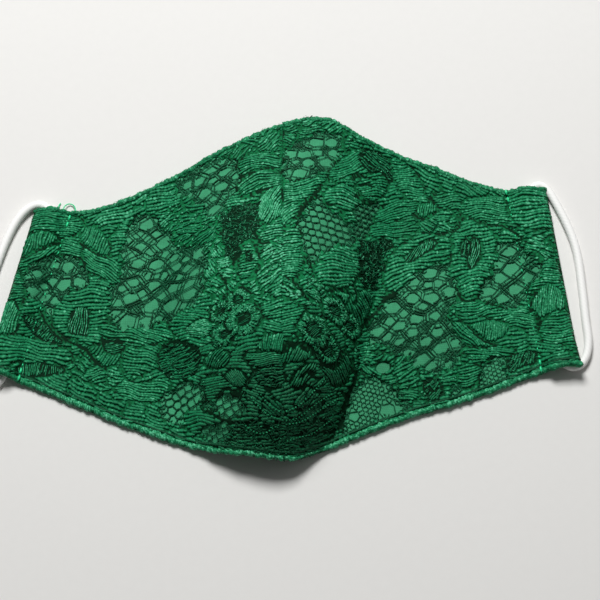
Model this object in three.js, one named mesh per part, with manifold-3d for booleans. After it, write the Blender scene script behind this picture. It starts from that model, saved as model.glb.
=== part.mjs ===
// A sewn face mask of two contoured halves, lying with its outer side up. Each half has a plain cloth
// lining, folded back at the side into a casing, a lace cover over it, and an elastic ear loop through the
// casing. Millimetres, +Z up, +Y towards the nose edge. The origin is on the surface that the mask lies on,
// under the middle of its plan.
import * as THREE from 'three';
import { mergeVertices } from 'three/addons/utils/BufferGeometryUtils.js';
import Module from 'manifold-3d';

const wasm = await Module();
wasm.setup();

// Cloth layers
const LINING_THICKNESS = 1.0;
const LACE_THICKNESS = 1.0;
const LAYER_GAP = 0.3;
const SEAM_GAP = 0.3;

// Turned edge of the lace at the hems: how far it hangs past the lining's skin, the slope of its corner and
// its least height over the surface
const LACE_LIP = 0.7;
const LIP_BEVEL = 0.7;
const LACE_LIFT = 0.25;

// Elastic ear loops
const CORD_DIAMETER = 3.3;
const CORD_CLEARANCE = 0.35;
const CORD_SIDES = 8;
const CORD_STEPS = 42;

// Coarse net of the lace: two sets of slanting bars, their distance, width and slant in degrees
const NET_PITCH = 6.4;
const NET_BAR = 2.2;
const NET_SLANT = 42;
const GAP_CUT_DEPTH = 6;

// Stations at the seam and at the fold, and rows at each hem, that no gap is cut in
const SEAM_MARGIN = 1;
const FOLD_MARGIN = 3;
const HEM_MARGIN = 3;

// Fineness of the cloth grids
const BODY_STATIONS = 12;
const HEM_TO_HEM_STEPS = 11;
const CASING_START = 0.28;

// Turns rows of numbers into rows with named columns.
const table = (columns, rows) => rows.map((row) => Object.fromEntries(row.map((v, i) => [columns[i], v])));

// Plan of the mask: each row is a line across it from the lower hem to the upper hem, from the left fold to
// the right fold. Rows 1 and 10 are the casings' stitch lines, row 5 is the centre seam.
const SECTIONS = table(['lowerX', 'lowerY', 'upperX', 'upperY'], [
  [-115.3, -29.7, -97.2, 38.2],
  [-103.4, -33.3, -83.5, 37.0],
  [-82.8, -42.3, -67.1, 40.0],
  [-59.5, -52.9, -45.9, 49.3],
  [-30.7, -63.3, -22.6, 59.2],
  [-1.4, -69.0, 2.1, 66.9],
  [12.4, -65.1, 18.9, 68.8],
  [24.8, -60.2, 34.8, 61.8],
  [48.1, -51.7, 57.0, 55.0],
  [71.6, -45.1, 76.7, 46.2],
  [100.4, -35.3, 91.2, 41.7],
  [114.8, -33.9, 106.5, 41.5],
]);
const SEAM_ROW = 5;

// The dome, cut level across from the nose (y = 70) to the chin (y = -70): where its ridge runs and how high,
// where it meets the wing on each side, and how sharply the right side tucks under into the crease.
const DOME_NOSE_Y = 70;
const DOME_STEP_Y = 20;
const DOME = table(['ridgeX', 'ridgeZ', 'leftFoot', 'rightFoot', 'tuck'], [
  [14, 15, -52, 72, 0],
  [6, 20.5, -60, 66, 0],
  [3, 26.5, -64, 58, 0.1],
  [2, 32.5, -66, 51, 0.3],
  [1, 36.5, -65, 39, 0.6],
  [-1, 34.5, -60, 32, 0.8],
  [-3, 23.5, -54, 25, 0.9],
  [-6, 8, -46, 15.5, 0.9],
]);
const DOME_SINK = 4;
const CREASE_BLEND = 3.5;

// Low swells of the two wings
const SWELLS = table(['x', 'y', 'halfX', 'halfY', 'height'], [
  [56, -8, 34, 46, 5],
  [-62, 0, 26, 36, 2],
]);

// Section of a casing. "across" is 1 at the stitch line and 0 at the folded edge.
const CASING_SKIN = table(['across', 'rise'], [
  [1, 1.7],
  [0.84, 3.4],
  [0.66, 5.2],
  [0.5, 5.9],
  [0.34, 5.3],
  [0.16, 3.9],
  [0.04, 2.6],
  [0, 1.4],
]);
const CASING_TUNNEL = table(['across', 'rise'], [
  [0.92, 1.05],
  [0.8, 2.2],
  [0.64, 4.1],
  [0.5, 4.8],
  [0.36, 4.3],
  [0.2, 3.0],
  [0.1, 1.9],
  [0.13, 1.05],
]);
const FOLD_INSET = 0.06;
const TUNNEL_OVERRUN = 0.05;

// Lift of a casing's lower corner over the ear loop that turns in under it: the share of the casing's width
// and the share of its length, counted from the corner, at which the lift has died out
const LIFT_WIDTH = 0.5;
const LIFT_LENGTH = 0.2;

// Patches of coarse net in the lace
const NETS = table(['x', 'y', 'halfX', 'halfY', 'turn'], [
  [-47.7, 11.1, 17, 21, 20],
  [-89.3, 6.5, 12, 11, 0],
  [-28.1, 42.9, 9, 11, 0],
  [12.4, 49.8, 10, 8.5, 10],
  [52.3, -12.6, 16.5, 21, -20],
  [89.3, 6.0, 12.5, 13, 45],
  [40.5, -49.0, 3, 3, 0],
]);

// Routes of the ear loops, from the hidden join in the casing out at the nose end, round on the surface, in
// at the chin end and up the casing again to the join.
const LEFT_ROUTE = table(['x', 'y', 'z'], [
  [-95.7, 18.3, 2.95],
  [-93.6, 26.0, 2.95],
  [-91.9, 32.2, 2.75],
  [-91.4, 36.2, 2.3],
  [-93.4, 39.4, 1.9],
  [-96.7, 40.4, 1.75],
  [-100.2, 39.0, 1.75],
  [-103.6, 35.6, 1.75],
  [-106.9, 30.0, 1.75],
  [-110.6, 20.7, 1.75],
  [-114.2, 9.0, 1.75],
  [-118.0, -4.0, 1.75],
  [-121.4, -15.0, 1.75],
  [-123.4, -23.0, 1.75],
  [-122.8, -29.4, 1.75],
  [-119.0, -34.0, 1.75],
  [-113.8, -35.2, 1.75],
  [-109.6, -32.6, 2.0],
  [-107.9, -27.4, 2.6],
  [-106.4, -20.6, 2.95],
  [-103.5, -9.8, 2.95],
  [-100.0, 2.8, 2.95],
  [-95.85, 17.7, 2.95],
]);
const RIGHT_ROUTE = table(['x', 'y', 'z'], [
  [101.3, 21.7, 2.95],
  [100.3, 29.7, 2.95],
  [99.6, 35.4, 2.75],
  [100.2, 40.0, 2.3],
  [102.6, 43.2, 1.9],
  [105.6, 43.2, 1.75],
  [108.0, 40.6, 1.75],
  [110.0, 36.6, 1.75],
  [113.4, 28.5, 1.75],
  [116.2, 19.8, 1.75],
  [117.6, 11.3, 1.75],
  [118.2, -1.3, 1.75],
  [118.6, -13.8, 1.75],
  [119.0, -22.1, 1.75],
  [118.0, -28.0, 1.75],
  [115.6, -31.9, 1.75],
  [112.2, -33.1, 1.8],
  [109.2, -31.4, 2.1],
  [107.6, -27.4, 2.7],
  [106.4, -20.0, 2.95],
  [105.2, -10.0, 2.95],
  [103.4, 5.0, 2.95],
  [101.4, 21.1, 2.95],
]);

const SIDES = [
  { name: 'left', fold: 0, stitch: 1, route: LEFT_ROUTE, cornerLift: 0 },
  { name: 'right', fold: 11, stitch: 10, route: RIGHT_ROUTE, cornerLift: 3.4 },
];

const LINING_CLOTH = { color: 0x4a9a72, roughness: 0.75, metalness: 0 };
const LACE_YARN = { color: 0x1f6e48, roughness: 0.6, metalness: 0 };
const ELASTIC = { color: 0xf4f4f2, roughness: 0.8, metalness: 0 };

// Smooth value of a column between the rows of a table.
function sample(rows, column, at) {
  const last = rows.length - 1;
  const place = THREE.MathUtils.clamp(at, 0, last);
  const i = Math.min(Math.floor(place), last - 1);
  const t = place - i;
  const value = (k) => rows[THREE.MathUtils.clamp(k, 0, last)][column];
  const [a, b, c, d] = [value(i - 1), value(i), value(i + 1), value(i + 2)];
  return b + 0.5 * t * (c - a + t * (2 * a - 5 * b + 4 * c - d + t * (3 * (b - c) + d - a)));
}

// Height of the lining's underside over the surface that the mask lies on.
function height(x, y) {
  const at = (DOME_NOSE_Y - y) / DOME_STEP_Y;
  const ridgeX = sample(DOME, 'ridgeX', at);
  const onRight = x > ridgeX;
  const foot = sample(DOME, onRight ? 'rightFoot' : 'leftFoot', at);
  const reach = THREE.MathUtils.clamp((x - ridgeX) / (foot - ridgeX), 0, 1);
  const tuck = onRight ? sample(DOME, 'tuck', at) : 0;
  const fall = Math.cos((Math.PI * reach) / 2);
  const share = (1 - tuck) * fall * fall + tuck * fall;
  const dome = (sample(DOME, 'ridgeZ', at) + DOME_SINK) * share - DOME_SINK;
  let swell = 0;
  for (const s of SWELLS) {
    const r2 = ((x - s.x) / s.halfX) ** 2 + ((y - s.y) / s.halfY) ** 2;
    swell = Math.max(swell, s.height * Math.max(1 - r2, 0) ** 2);
  }
  const blend = Math.max(CREASE_BLEND - Math.abs(dome - swell), 0) / CREASE_BLEND;
  return Math.max(dome, swell) + (blend * blend * CREASE_BLEND) / 4;
}

// Upward unit normal of the lining's underside.
function heightNormal(x, y) {
  const step = 0.05;
  const dx = (height(x + step, y) - height(x - step, y)) / (2 * step);
  const dy = (height(x, y + step) - height(x, y - step)) / (2 * step);
  return new THREE.Vector3(-dx, -dy, 1).normalize();
}

// Plan point on section s, at the share v of the way from the lower hem to the upper hem.
function planPoint(s, v) {
  const lower = new THREE.Vector2(sample(SECTIONS, 'lowerX', s), sample(SECTIONS, 'lowerY', s));
  const upper = new THREE.Vector2(sample(SECTIONS, 'upperX', s), sample(SECTIONS, 'upperY', s));
  return lower.lerp(upper, v);
}

// Plan point in a casing, at the share "across" of its width from the folded edge.
function casingPoint(side, across, v) {
  return planPoint(side.fold, v).lerp(planPoint(side.stitch, v), across);
}

// How far a place in a casing is lifted at its lower corner.
function casingLift(side, across, v) {
  const inwards = Math.max(1 - across / LIFT_WIDTH, 0);
  return side.cornerLift * inwards * THREE.MathUtils.smoothstep(LIFT_LENGTH - v, 0, LIFT_LENGTH);
}

// Normals of the casing's skin in its section, as shares along the outward direction and along Z.
function casingNormals() {
  const width = planPoint(0, 0.5).distanceTo(planPoint(1, 0.5));
  const points = CASING_SKIN.map((row) => new THREE.Vector2(-row.across * width, row.rise));
  return points.map((_, k) => {
    const before = points[Math.max(k - 1, 0)];
    const after = points[Math.min(k + 1, points.length - 1)];
    return new THREE.Vector2(before.y - after.y, after.x - before.x).normalize();
  });
}

// Cloth of one half as stations from the seam to the fold, each a row of nodes from hem to hem. A node holds
// the lining's underside, its outer skin, the skin's normal and, at a hem, the direction out of the cloth.
function clothGrid(side) {
  const outward = Math.sign(side.fold - SEAM_ROW);
  const innerRow = side.stitch - outward * CASING_START;
  const shares = Array.from({ length: HEM_TO_HEM_STEPS + 1 }, (_, j) => j / HEM_TO_HEM_STEPS);
  const stations = [];
  for (let i = 0; i <= BODY_STATIONS; i += 1) {
    const s = THREE.MathUtils.lerp(SEAM_ROW, innerRow, i / BODY_STATIONS);
    const seamShift = i === 0 ? (outward * SEAM_GAP) / 2 : 0;
    stations.push(shares.map((v) => {
      const { x, y } = planPoint(s, v);
      const underside = new THREE.Vector3(x + seamShift, y, height(x, y));
      const normal = heightNormal(x, y);
      return { underside, normal, skin: underside.clone().addScaledVector(normal, LINING_THICKNESS) };
    }));
  }
  const normals = casingNormals();
  CASING_SKIN.forEach((row, k) => {
    stations.push(shares.map((v) => {
      const top = casingPoint(side, row.across, v);
      const bottom = casingPoint(side, Math.max(row.across, FOLD_INSET), v);
      const out = casingPoint(side, 0, v).sub(casingPoint(side, 1, v)).normalize();
      return {
        underside: new THREE.Vector3(bottom.x, bottom.y, 0),
        skin: new THREE.Vector3(top.x, top.y, row.rise + casingLift(side, row.across, v)),
        normal: new THREE.Vector3(out.x * normals[k].x, out.y * normals[k].x, normals[k].y),
      };
    }));
  });
  for (const nodes of stations) {
    const last = nodes.length - 1;
    nodes[0].out = nodes[0].skin.clone().sub(nodes[1].skin).normalize();
    nodes[last].out = nodes[last].skin.clone().sub(nodes[last - 1].skin).normalize();
  }
  return stations;
}

// Closed solid between two grids of points of the same size.
function slab(outer, inner) {
  const rows = outer.length;
  const columns = outer[0].length;
  const points = [...outer.flat(), ...inner.flat()];
  const top = (i, j) => i * columns + j;
  const under = (i, j) => rows * columns + top(i, j);
  const triangles = [];
  const quad = (a, b, c, d) => triangles.push(a, b, c, a, c, d);
  for (let i = 0; i < rows - 1; i += 1) {
    for (let j = 0; j < columns - 1; j += 1) {
      quad(top(i, j), top(i + 1, j), top(i + 1, j + 1), top(i, j + 1));
      quad(under(i, j), under(i, j + 1), under(i + 1, j + 1), under(i + 1, j));
    }
    quad(top(i, 0), under(i, 0), under(i + 1, 0), top(i + 1, 0));
    quad(top(i, columns - 1), top(i + 1, columns - 1), under(i + 1, columns - 1), under(i, columns - 1));
  }
  for (let j = 0; j < columns - 1; j += 1) {
    quad(top(0, j), top(0, j + 1), under(0, j + 1), under(0, j));
    quad(top(rows - 1, j), under(rows - 1, j), under(rows - 1, j + 1), top(rows - 1, j + 1));
  }
  return solid(points.flatMap((p) => p.toArray()), triangles);
}

// A solid from points and triangles that all turn the same way, with its faces turned outwards.
function solid(positions, triangles) {
  const made = (triVerts) => new wasm.Manifold(new wasm.Mesh({
    numProp: 3,
    vertProperties: new Float32Array(positions),
    triVerts: new Uint32Array(triVerts),
  }));
  const body = made(triangles);
  return body.volume() > 0 ? body : made(triangles.toReversed());
}

// A closed three.js geometry as a solid that can be cut.
function solidOf(geometry) {
  geometry.deleteAttribute('normal');
  geometry.deleteAttribute('uv');
  const merged = mergeVertices(geometry);
  return solid(merged.attributes.position.array, merged.index.array);
}

// The main body of a cut solid, without any crumbs that the cuts leave.
function mainBody(cut) {
  const bodies = cut.decompose();
  return bodies.reduce((a, b) => (b.volume() > a.volume() ? b : a));
}

function cordTube(side, diameter) {
  const section = new THREE.Shape();
  for (let k = 0; k < CORD_SIDES; k += 1) {
    const angle = ((k + 0.5) / CORD_SIDES) * Math.PI * 2;
    const point = [(Math.cos(angle) * diameter) / 2, (Math.sin(angle) * diameter) / 2];
    if (k === 0) section.moveTo(...point);
    else section.lineTo(...point);
  }
  const path = new THREE.CatmullRomCurve3(side.route.map((p) => new THREE.Vector3(p.x, p.y, p.z)));
  return new THREE.ExtrudeGeometry(section, { steps: CORD_STEPS, extrudePath: path });
}

// Lens-shaped hollow of a casing, open at both hems.
function casingHollow(side) {
  const floor = Math.min(...CASING_TUNNEL.map((row) => row.rise));
  const ring = (v) => CASING_TUNNEL.map((row) => {
    const p = casingPoint(side, row.across, v);
    const lift = row.rise > floor ? casingLift(side, row.across, v) : 0;
    return new THREE.Vector3(p.x, p.y, row.rise + lift);
  });
  const lifted = [0, 1, 2, 3].map((k) => k / HEM_TO_HEM_STEPS);
  const rings = [-TUNNEL_OVERRUN, ...lifted, 1 + TUNNEL_OVERRUN].map(ring);
  const count = CASING_TUNNEL.length;
  const contour = CASING_TUNNEL.map((row) => new THREE.Vector2(row.across, row.rise));
  const caps = THREE.ShapeUtils.triangulateShape(contour, []);
  const triangles = [];
  const last = (rings.length - 1) * count;
  for (let first = 0; first < last; first += count) {
    for (let k = 0; k < count; k += 1) {
      const [a, b] = [first + k, first + ((k + 1) % count)];
      triangles.push(a, b, count + b, a, count + b, count + a);
    }
  }
  for (const [a, b, c] of caps) triangles.push(a, c, b, last + a, last + b, last + c);
  return solid(rings.flat().flatMap((p) => p.toArray()), triangles);
}

function liningSolid(side, grid, clearance) {
  const skin = grid.map((nodes) => nodes.map((node) => node.skin));
  const underside = grid.map((nodes) => nodes.map((node) => node.underside));
  return mainBody(slab(skin, underside).subtract(casingHollow(side)).subtract(clearance));
}

// Turned edge of the lace at a hem: how far each face stands out past the lining's edge and up from its skin.
const REACH = LAYER_GAP + LACE_THICKNESS;
const HEM_TURN = table(['outerOut', 'outerUp', 'innerOut', 'innerUp'], [
  [REACH, -LACE_LIP, LAYER_GAP, -LACE_LIP],
  [REACH, REACH - LIP_BEVEL, LAYER_GAP, LAYER_GAP],
  [REACH - LIP_BEVEL, REACH, 0, LAYER_GAP],
]);

function laceFace(grid, face, up) {
  const turned = (node, row) => {
    const point = node.skin.clone().addScaledVector(node.out, row[`${face}Out`]);
    point.addScaledVector(node.normal, row[`${face}Up`]);
    return point.setZ(Math.max(point.z, LACE_LIFT));
  };
  return grid.map((nodes) => [
    ...HEM_TURN.map((row) => turned(nodes[0], row)),
    ...nodes.slice(1, -1).map((node) => node.skin.clone().addScaledVector(node.normal, up)),
    ...HEM_TURN.toReversed().map((row) => turned(nodes.at(-1), row)),
  ]);
}

// The place and normal of a grid of points over a plan point, or null where the point isn't well inside it.
function seatOn(points, x, y) {
  const place = new THREE.Vector3();
  for (let i = SEAM_MARGIN; i < points.length - FOLD_MARGIN; i += 1) {
    for (let j = HEM_MARGIN; j < points[0].length - HEM_MARGIN - 1; j += 1) {
      const [a, b, c, d] = [points[i][j], points[i + 1][j], points[i + 1][j + 1], points[i][j + 1]];
      for (const [p, q, r] of [[a, b, c], [a, c, d]]) {
        const flat = new THREE.Triangle(p, q, r).clone();
        for (const corner of [flat.a, flat.b, flat.c]) corner.setZ(0);
        if (flat.containsPoint(place.set(x, y, 0))) {
          const triangle = new THREE.Triangle(p, q, r);
          const normal = triangle.getNormal(new THREE.Vector3());
          if (normal.z < 0) normal.negate();
          const rise = normal.dot(p.clone().sub(place)) / normal.z;
          return { place: place.clone().setZ(rise), normal };
        }
      }
    }
  }
  return null;
}

// Length along a bar of a diamond whose opposite sides lie the given distance apart.
function diamondSide(distance) {
  return distance / Math.sin(2 * THREE.MathUtils.degToRad(NET_SLANT));
}

// Half diagonals of a diamond with the net's slant.
function diamondReach(side) {
  const slant = THREE.MathUtils.degToRad(NET_SLANT);
  return { x: side * Math.cos(slant), y: side * Math.sin(slant) };
}

// Plan places of a net patch's gaps, between crossing bars inside an ellipse.
function gapPlaces(net) {
  const places = [];
  const turn = THREE.MathUtils.degToRad(net.turn);
  const cell = diamondReach(diamondSide(NET_PITCH));
  const count = Math.ceil(Math.max(net.halfX, net.halfY) / Math.min(cell.x, cell.y));
  for (let i = -count; i <= count; i += 1) {
    for (let j = -count; j <= count; j += 1) {
      const spot = new THREE.Vector2((i + j) * cell.x, (i - j) * cell.y);
      spot.rotateAround(new THREE.Vector2(), turn);
      const inside = (spot.x / net.halfX) ** 2 + (spot.y / net.halfY) ** 2 <= 1;
      if (inside) places.push(spot.add(new THREE.Vector2(net.x, net.y)));
    }
  }
  return places;
}

function gapPrism(seat, turn) {
  const { x, y } = diamondReach(diamondSide(NET_PITCH - NET_BAR));
  const corners = [[x, 0], [0, y], [-x, 0], [0, -y]].map((corner) => new THREE.Vector2(...corner));
  const outline = new THREE.Shape(corners);
  const prism = new THREE.ExtrudeGeometry(outline, { depth: GAP_CUT_DEPTH, bevelEnabled: false });
  prism.translate(0, 0, -GAP_CUT_DEPTH / 2);
  prism.rotateZ(THREE.MathUtils.degToRad(turn));
  prism.applyQuaternion(new THREE.Quaternion().setFromUnitVectors(new THREE.Vector3(0, 0, 1), seat.normal));
  prism.translate(...seat.place.toArray());
  return solidOf(prism);
}

function laceSolid(grid, clearance) {
  const outer = laceFace(grid, 'outer', REACH);
  const inner = laceFace(grid, 'inner', LAYER_GAP);
  let lace = slab(outer, inner).subtract(clearance);
  for (const net of NETS) {
    for (const spot of gapPlaces(net)) {
      const seat = seatOn(outer, spot.x, spot.y);
      if (seat) lace = lace.subtract(gapPrism(seat, net.turn));
    }
  }
  return mainBody(lace);
}

function meshOf(name, body, finish) {
  const { vertProperties, triVerts } = body.getMesh();
  const geometry = new THREE.BufferGeometry();
  geometry.setAttribute('position', new THREE.BufferAttribute(vertProperties, 3));
  geometry.setIndex(new THREE.BufferAttribute(triVerts, 1));
  geometry.computeVertexNormals();
  return named(name, geometry, finish);
}

function named(name, geometry, finish) {
  const mesh = new THREE.Mesh(geometry, new THREE.MeshStandardMaterial(finish));
  mesh.name = name;
  return mesh;
}

const mask = new THREE.Group();
for (const side of SIDES) {
  const grid = clothGrid(side);
  const clearance = solidOf(cordTube(side, CORD_DIAMETER + 2 * CORD_CLEARANCE));
  mask.add(
    meshOf(`lining_${side.name}`, liningSolid(side, grid, clearance), LINING_CLOTH),
    meshOf(`lace_${side.name}`, laceSolid(grid, clearance), LACE_YARN),
    named(`ear_loop_${side.name}`, cordTube(side, CORD_DIAMETER), ELASTIC),
  );
}

export default mask;
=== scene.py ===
"""A sewn face mask of green floral lace over a plain lining, with white elastic ear loops, lying on a floor.

Lengths in the tables are millimetres in the CAD frame: +X across the mask, +Y towards the nose, +Z up. The
chart of the lace alone is in pixels, and on_lace() turns it into millimetres.
"""
import itertools
import math
from collections import namedtuple

import bpy
import numpy as np
from mathutils import Matrix, Vector


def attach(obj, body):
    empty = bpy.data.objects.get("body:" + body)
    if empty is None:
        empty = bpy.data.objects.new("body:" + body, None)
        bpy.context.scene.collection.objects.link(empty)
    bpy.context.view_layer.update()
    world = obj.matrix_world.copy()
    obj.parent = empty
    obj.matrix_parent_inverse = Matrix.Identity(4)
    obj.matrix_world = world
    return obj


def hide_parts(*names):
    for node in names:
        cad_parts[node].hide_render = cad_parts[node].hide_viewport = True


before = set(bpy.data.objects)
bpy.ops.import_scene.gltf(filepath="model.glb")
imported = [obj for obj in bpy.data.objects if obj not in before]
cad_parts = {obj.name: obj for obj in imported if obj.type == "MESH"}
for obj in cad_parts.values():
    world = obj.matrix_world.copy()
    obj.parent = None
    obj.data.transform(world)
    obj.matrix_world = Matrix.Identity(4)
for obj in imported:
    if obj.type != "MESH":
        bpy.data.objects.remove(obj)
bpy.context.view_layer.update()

bl_info = {
    "name": "Lace face mask",
    "version": (1, 0, 0),
    "blender": (4, 5, 0),
    "location": "View3D > Sidebar > Lace mask",
    "description": "Builds a sewn face mask of floral lace over a lining, with elastic ear loops",
    "category": "Object",
}

MM = 0.001
# Range of a wave's random start, in radians
PHASE = 6.28


def table(columns, rows):
    """Rows of numbers with named columns."""
    return np.array(rows, dtype=[(name, float) for name in columns.split()])


# Plan of the mask, from the left fold to the right fold: lines from the lower hem to the upper hem.
# Rows 1 and 10 are the casings' stitch lines, row 5 is the centre seam.
SECTIONS = table("lower_x lower_y upper_x upper_y", [
    (-115.3, -29.7, -97.2, 38.2),
    (-103.4, -33.3, -83.5, 37.0),
    (-82.8, -42.3, -67.1, 40.0),
    (-59.5, -52.9, -45.9, 49.3),
    (-30.7, -63.3, -22.6, 59.2),
    (-1.4, -69.0, 2.1, 66.9),
    (12.4, -65.1, 18.9, 68.8),
    (24.8, -60.2, 34.8, 61.8),
    (48.1, -51.7, 57.0, 55.0),
    (71.6, -45.1, 76.7, 46.2),
    (100.4, -35.3, 91.2, 41.7),
    (114.8, -33.9, 106.5, 41.5),
])
SEAM_ROW = 5
# name, row of the fold, row of the stitch line, way out from the seam
SIDES = (("left", 0, 1, -1.0), ("right", 11, 10, 1.0))

# The dome, cut level from the nose (y = 70) to the chin (y = -70)
DOME = table("ridge_x ridge_z left_foot right_foot tuck", [
    (14, 15, -52, 72, 0),
    (6, 20.5, -60, 66, 0),
    (3, 26.5, -64, 58, 0.1),
    (2, 32.5, -66, 51, 0.3),
    (1, 36.5, -65, 39, 0.6),
    (-1, 34.5, -60, 32, 0.8),
    (-3, 23.5, -54, 25, 0.9),
    (-6, 8, -46, 15.5, 0.9),
])
DOME_NOSE_Y = 70.0
DOME_STEP_Y = 20.0
DOME_SINK = 4.0
CREASE_BLEND = 3.5
SWELLS = table("x y half_x half_y height", [(56, -8, 34, 46, 5), (-62, 0, 26, 36, 2)])

# Section of a casing: "across" is 1 at the stitch line and 0 at the folded edge
CASING = table("across rise", [
    (1, 1.7), (0.84, 3.4), (0.66, 5.2), (0.5, 5.9), (0.34, 5.3), (0.16, 3.9), (0.04, 2.6), (0, 1.4),
])
STITCH_REACH = 5.0
# Lift of the right casing's lower corner over the ear loop that turns in under it, in mm, and the shares of
# the casing's width and length at which it has died out. The cloth that is folded back stops short of the
# loop, at a share of its length.
CORNER_LIFT = 3.4
LIFT_WIDTH, LIFT_LENGTH = 0.5, 0.2
RETURN_STOP = 0.065

# Layers, measured up from the lining's outer skin
LINING_THICKNESS = 1.0
GROUND_UNDER = 0.25
GROUND_TOP = 0.55

# Routes of the ear loops, from the hidden join out at the nose end, round on the floor and in at the chin end
ROUTES = {
    "left": (
        (-95.7, 18.3, 2.95), (-93.6, 26.0, 2.95), (-91.9, 32.2, 2.75), (-91.4, 36.2, 2.3),
        (-93.4, 39.4, 1.9), (-96.7, 40.4, 1.75), (-100.2, 39.0, 1.75), (-103.6, 35.6, 1.75),
        (-106.9, 30.0, 1.75), (-110.6, 20.7, 1.75), (-114.2, 9.0, 1.75), (-118.0, -4.0, 1.75),
        (-121.4, -15.0, 1.75), (-123.4, -23.0, 1.75), (-122.8, -29.4, 1.75), (-119.0, -34.0, 1.75),
        (-113.8, -35.2, 1.75), (-109.6, -32.6, 2.0), (-107.9, -27.4, 2.6), (-106.4, -20.6, 2.95),
        (-103.5, -9.8, 2.95), (-100.0, 2.8, 2.95), (-95.85, 17.7, 2.95),
    ),
    "right": (
        (101.3, 21.7, 2.95), (100.3, 29.7, 2.95), (99.6, 35.4, 2.75), (100.2, 40.0, 2.3),
        (102.6, 43.2, 1.9), (105.6, 43.2, 1.75), (108.0, 40.6, 1.75), (110.0, 36.6, 1.75),
        (113.4, 28.5, 1.75), (116.2, 19.8, 1.75), (117.6, 11.3, 1.75), (118.2, -1.3, 1.75),
        (118.6, -13.8, 1.75), (119.0, -22.1, 1.75), (118.0, -28.0, 1.75), (115.6, -31.9, 1.75),
        (112.2, -33.1, 1.8), (109.2, -31.4, 2.1), (107.6, -27.4, 2.7), (106.4, -20.0, 2.95),
        (105.2, -10.0, 2.95), (103.4, 5.0, 2.95), (101.4, 21.1, 2.95),
    ),
}

# Where the photograph was taken from, in mm and degrees, and the pixel of its frame that shows the aim.
# A pixel is 0.39 mm wide at the aim.
CAMERA_AIM = (0.9, -1.0, 8.0)
CAMERA_DISTANCE = 760.0
CAMERA_ELEVATION = 70.0
CAMERA_ROLL = 1.4
PHOTO_SIDE = 600
AIM_PIXEL = (284, 291)
PIXEL = 0.39
FOCUS = CAMERA_DISTANCE / PIXEL
# Height of the lace's outer side over the lining's underside, where the chart is dropped on it
LACE_TOP = 2.0

# Chart of the lace, drawn in the photograph's frame of 600 x 600 pixels. A leaf has its style, the turn of
# its ribs in degrees, their arch, its tone and its outline, x and y in turn. Later leaves lie over earlier
# ones, and all lie over the strips, which are filled with small lobes and have no arch. A net has its outline
# and its cells, with x, y and radius in turn. A fine mesh has the distance of its cells, its kind and its
# outline. A flower has its middle, radius, number of petals and heart's radius. A chain of stitches has its
# line, and a gap between ribs its width and its line.
STRIPS = (
    ("r", 0, 0.95, (-40, 170, 640, 170, 640, 430, -40, 430)),
    ("r", 22, 0.95, (30, 214, 72, 214, 110, 205, 160, 184, 222, 150, 283, 124, 283, 150, 240, 156, 200, 200,
     176, 206, 150, 216, 120, 224, 84, 226, 60, 220)),
    ("s", 10, 0.85, (150, 216, 176, 206, 200, 214, 226, 214, 224, 240, 206, 250, 186, 246, 170, 236, 158,
     224)),
    ("s", 20, 0.95, (200, 176, 240, 142, 283, 124, 283, 156, 262, 152, 244, 156, 236, 164, 220, 160, 206,
     166)),
    ("s", 0, 0.95, (283, 122, 320, 116, 345, 124, 370, 140, 388, 150, 364, 156, 346, 152, 338, 136, 320, 131,
     304, 138, 288, 148, 283, 150)),
    ("r", -24, 1, (345, 122, 380, 144, 420, 162, 470, 180, 507, 188, 507, 200, 470, 200, 440, 196, 424, 186,
     404, 166, 386, 156, 364, 152)),
    ("r", -20, 0.85, (-20, 372, 17, 376, 60, 374, 100, 386, 116, 400, 160, 404, 166, 424, 205, 440, 283, 448,
     283, 470, 130, 436, -20, 392)),
    ("s", -20, 0.95, (60, 362, 84, 356, 98, 366, 118, 366, 124, 378, 114, 388, 104, 392, 84, 386, 66, 378)),
    ("d", 0, 0.55, (240, 420, 283, 420, 330, 405, 346, 410, 326, 452, 283, 464, 236, 450, 222, 436)),
    ("r", 19, 0.9, (336, 432, 390, 404, 410, 398, 440, 392, 470, 386, 506, 376, 540, 360, 582, 352, 584, 366,
     543, 378, 470, 406, 350, 446)),
    ("s", 10, 0.9, (352, 346, 372, 340, 388, 348, 410, 356, 436, 372, 458, 370, 470, 388, 430, 400, 404, 404,
     388, 400, 376, 376, 356, 372)),
    ("s", -15, 1.05, (206, 252, 214, 246, 226, 248, 234, 262, 232, 276, 226, 290, 216, 298, 206, 288, 206,
     270)),
    ("s", 10, 0.95, (108, 284, 120, 278, 120, 300, 110, 322, 104, 320, 112, 300)),
    ("s", 0, 1.1, (259, 266, 264, 246, 276, 240, 283, 240, 283, 302, 262, 304, 252, 292, 252, 280)),
    ("s", -20, 1.05, (214, 300, 230, 282, 244, 284, 252, 294, 262, 304, 258, 318, 230, 308)),
    ("s", 0, 1.05, (283, 280, 298, 278, 310, 276, 322, 286, 322, 302, 300, 306, 283, 304)),
    ("s", 38, 0.75, (292, 402, 304, 388, 318, 377, 330, 373, 343, 378, 341, 392, 334, 403, 322, 408, 306,
     411)),
    ("s", -36, 0.75, (238, 384, 252, 380, 264, 386, 276, 398, 283, 406, 283, 416, 268, 412, 254, 403, 244,
     394)),
    ("s", 0, 0.9, (418, 223, 430, 215, 446, 210, 458, 216, 461, 226, 448, 232, 434, 233, 422, 230)),
    ("s", 0, 1, (497, 240, 506, 228, 518, 230, 527, 238, 520, 246, 508, 244, 500, 246)),
    ("s", 0, 1.05, (524, 251, 530, 242, 543, 240, 552, 250, 554, 264, 544, 268, 534, 262)),
)
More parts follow.
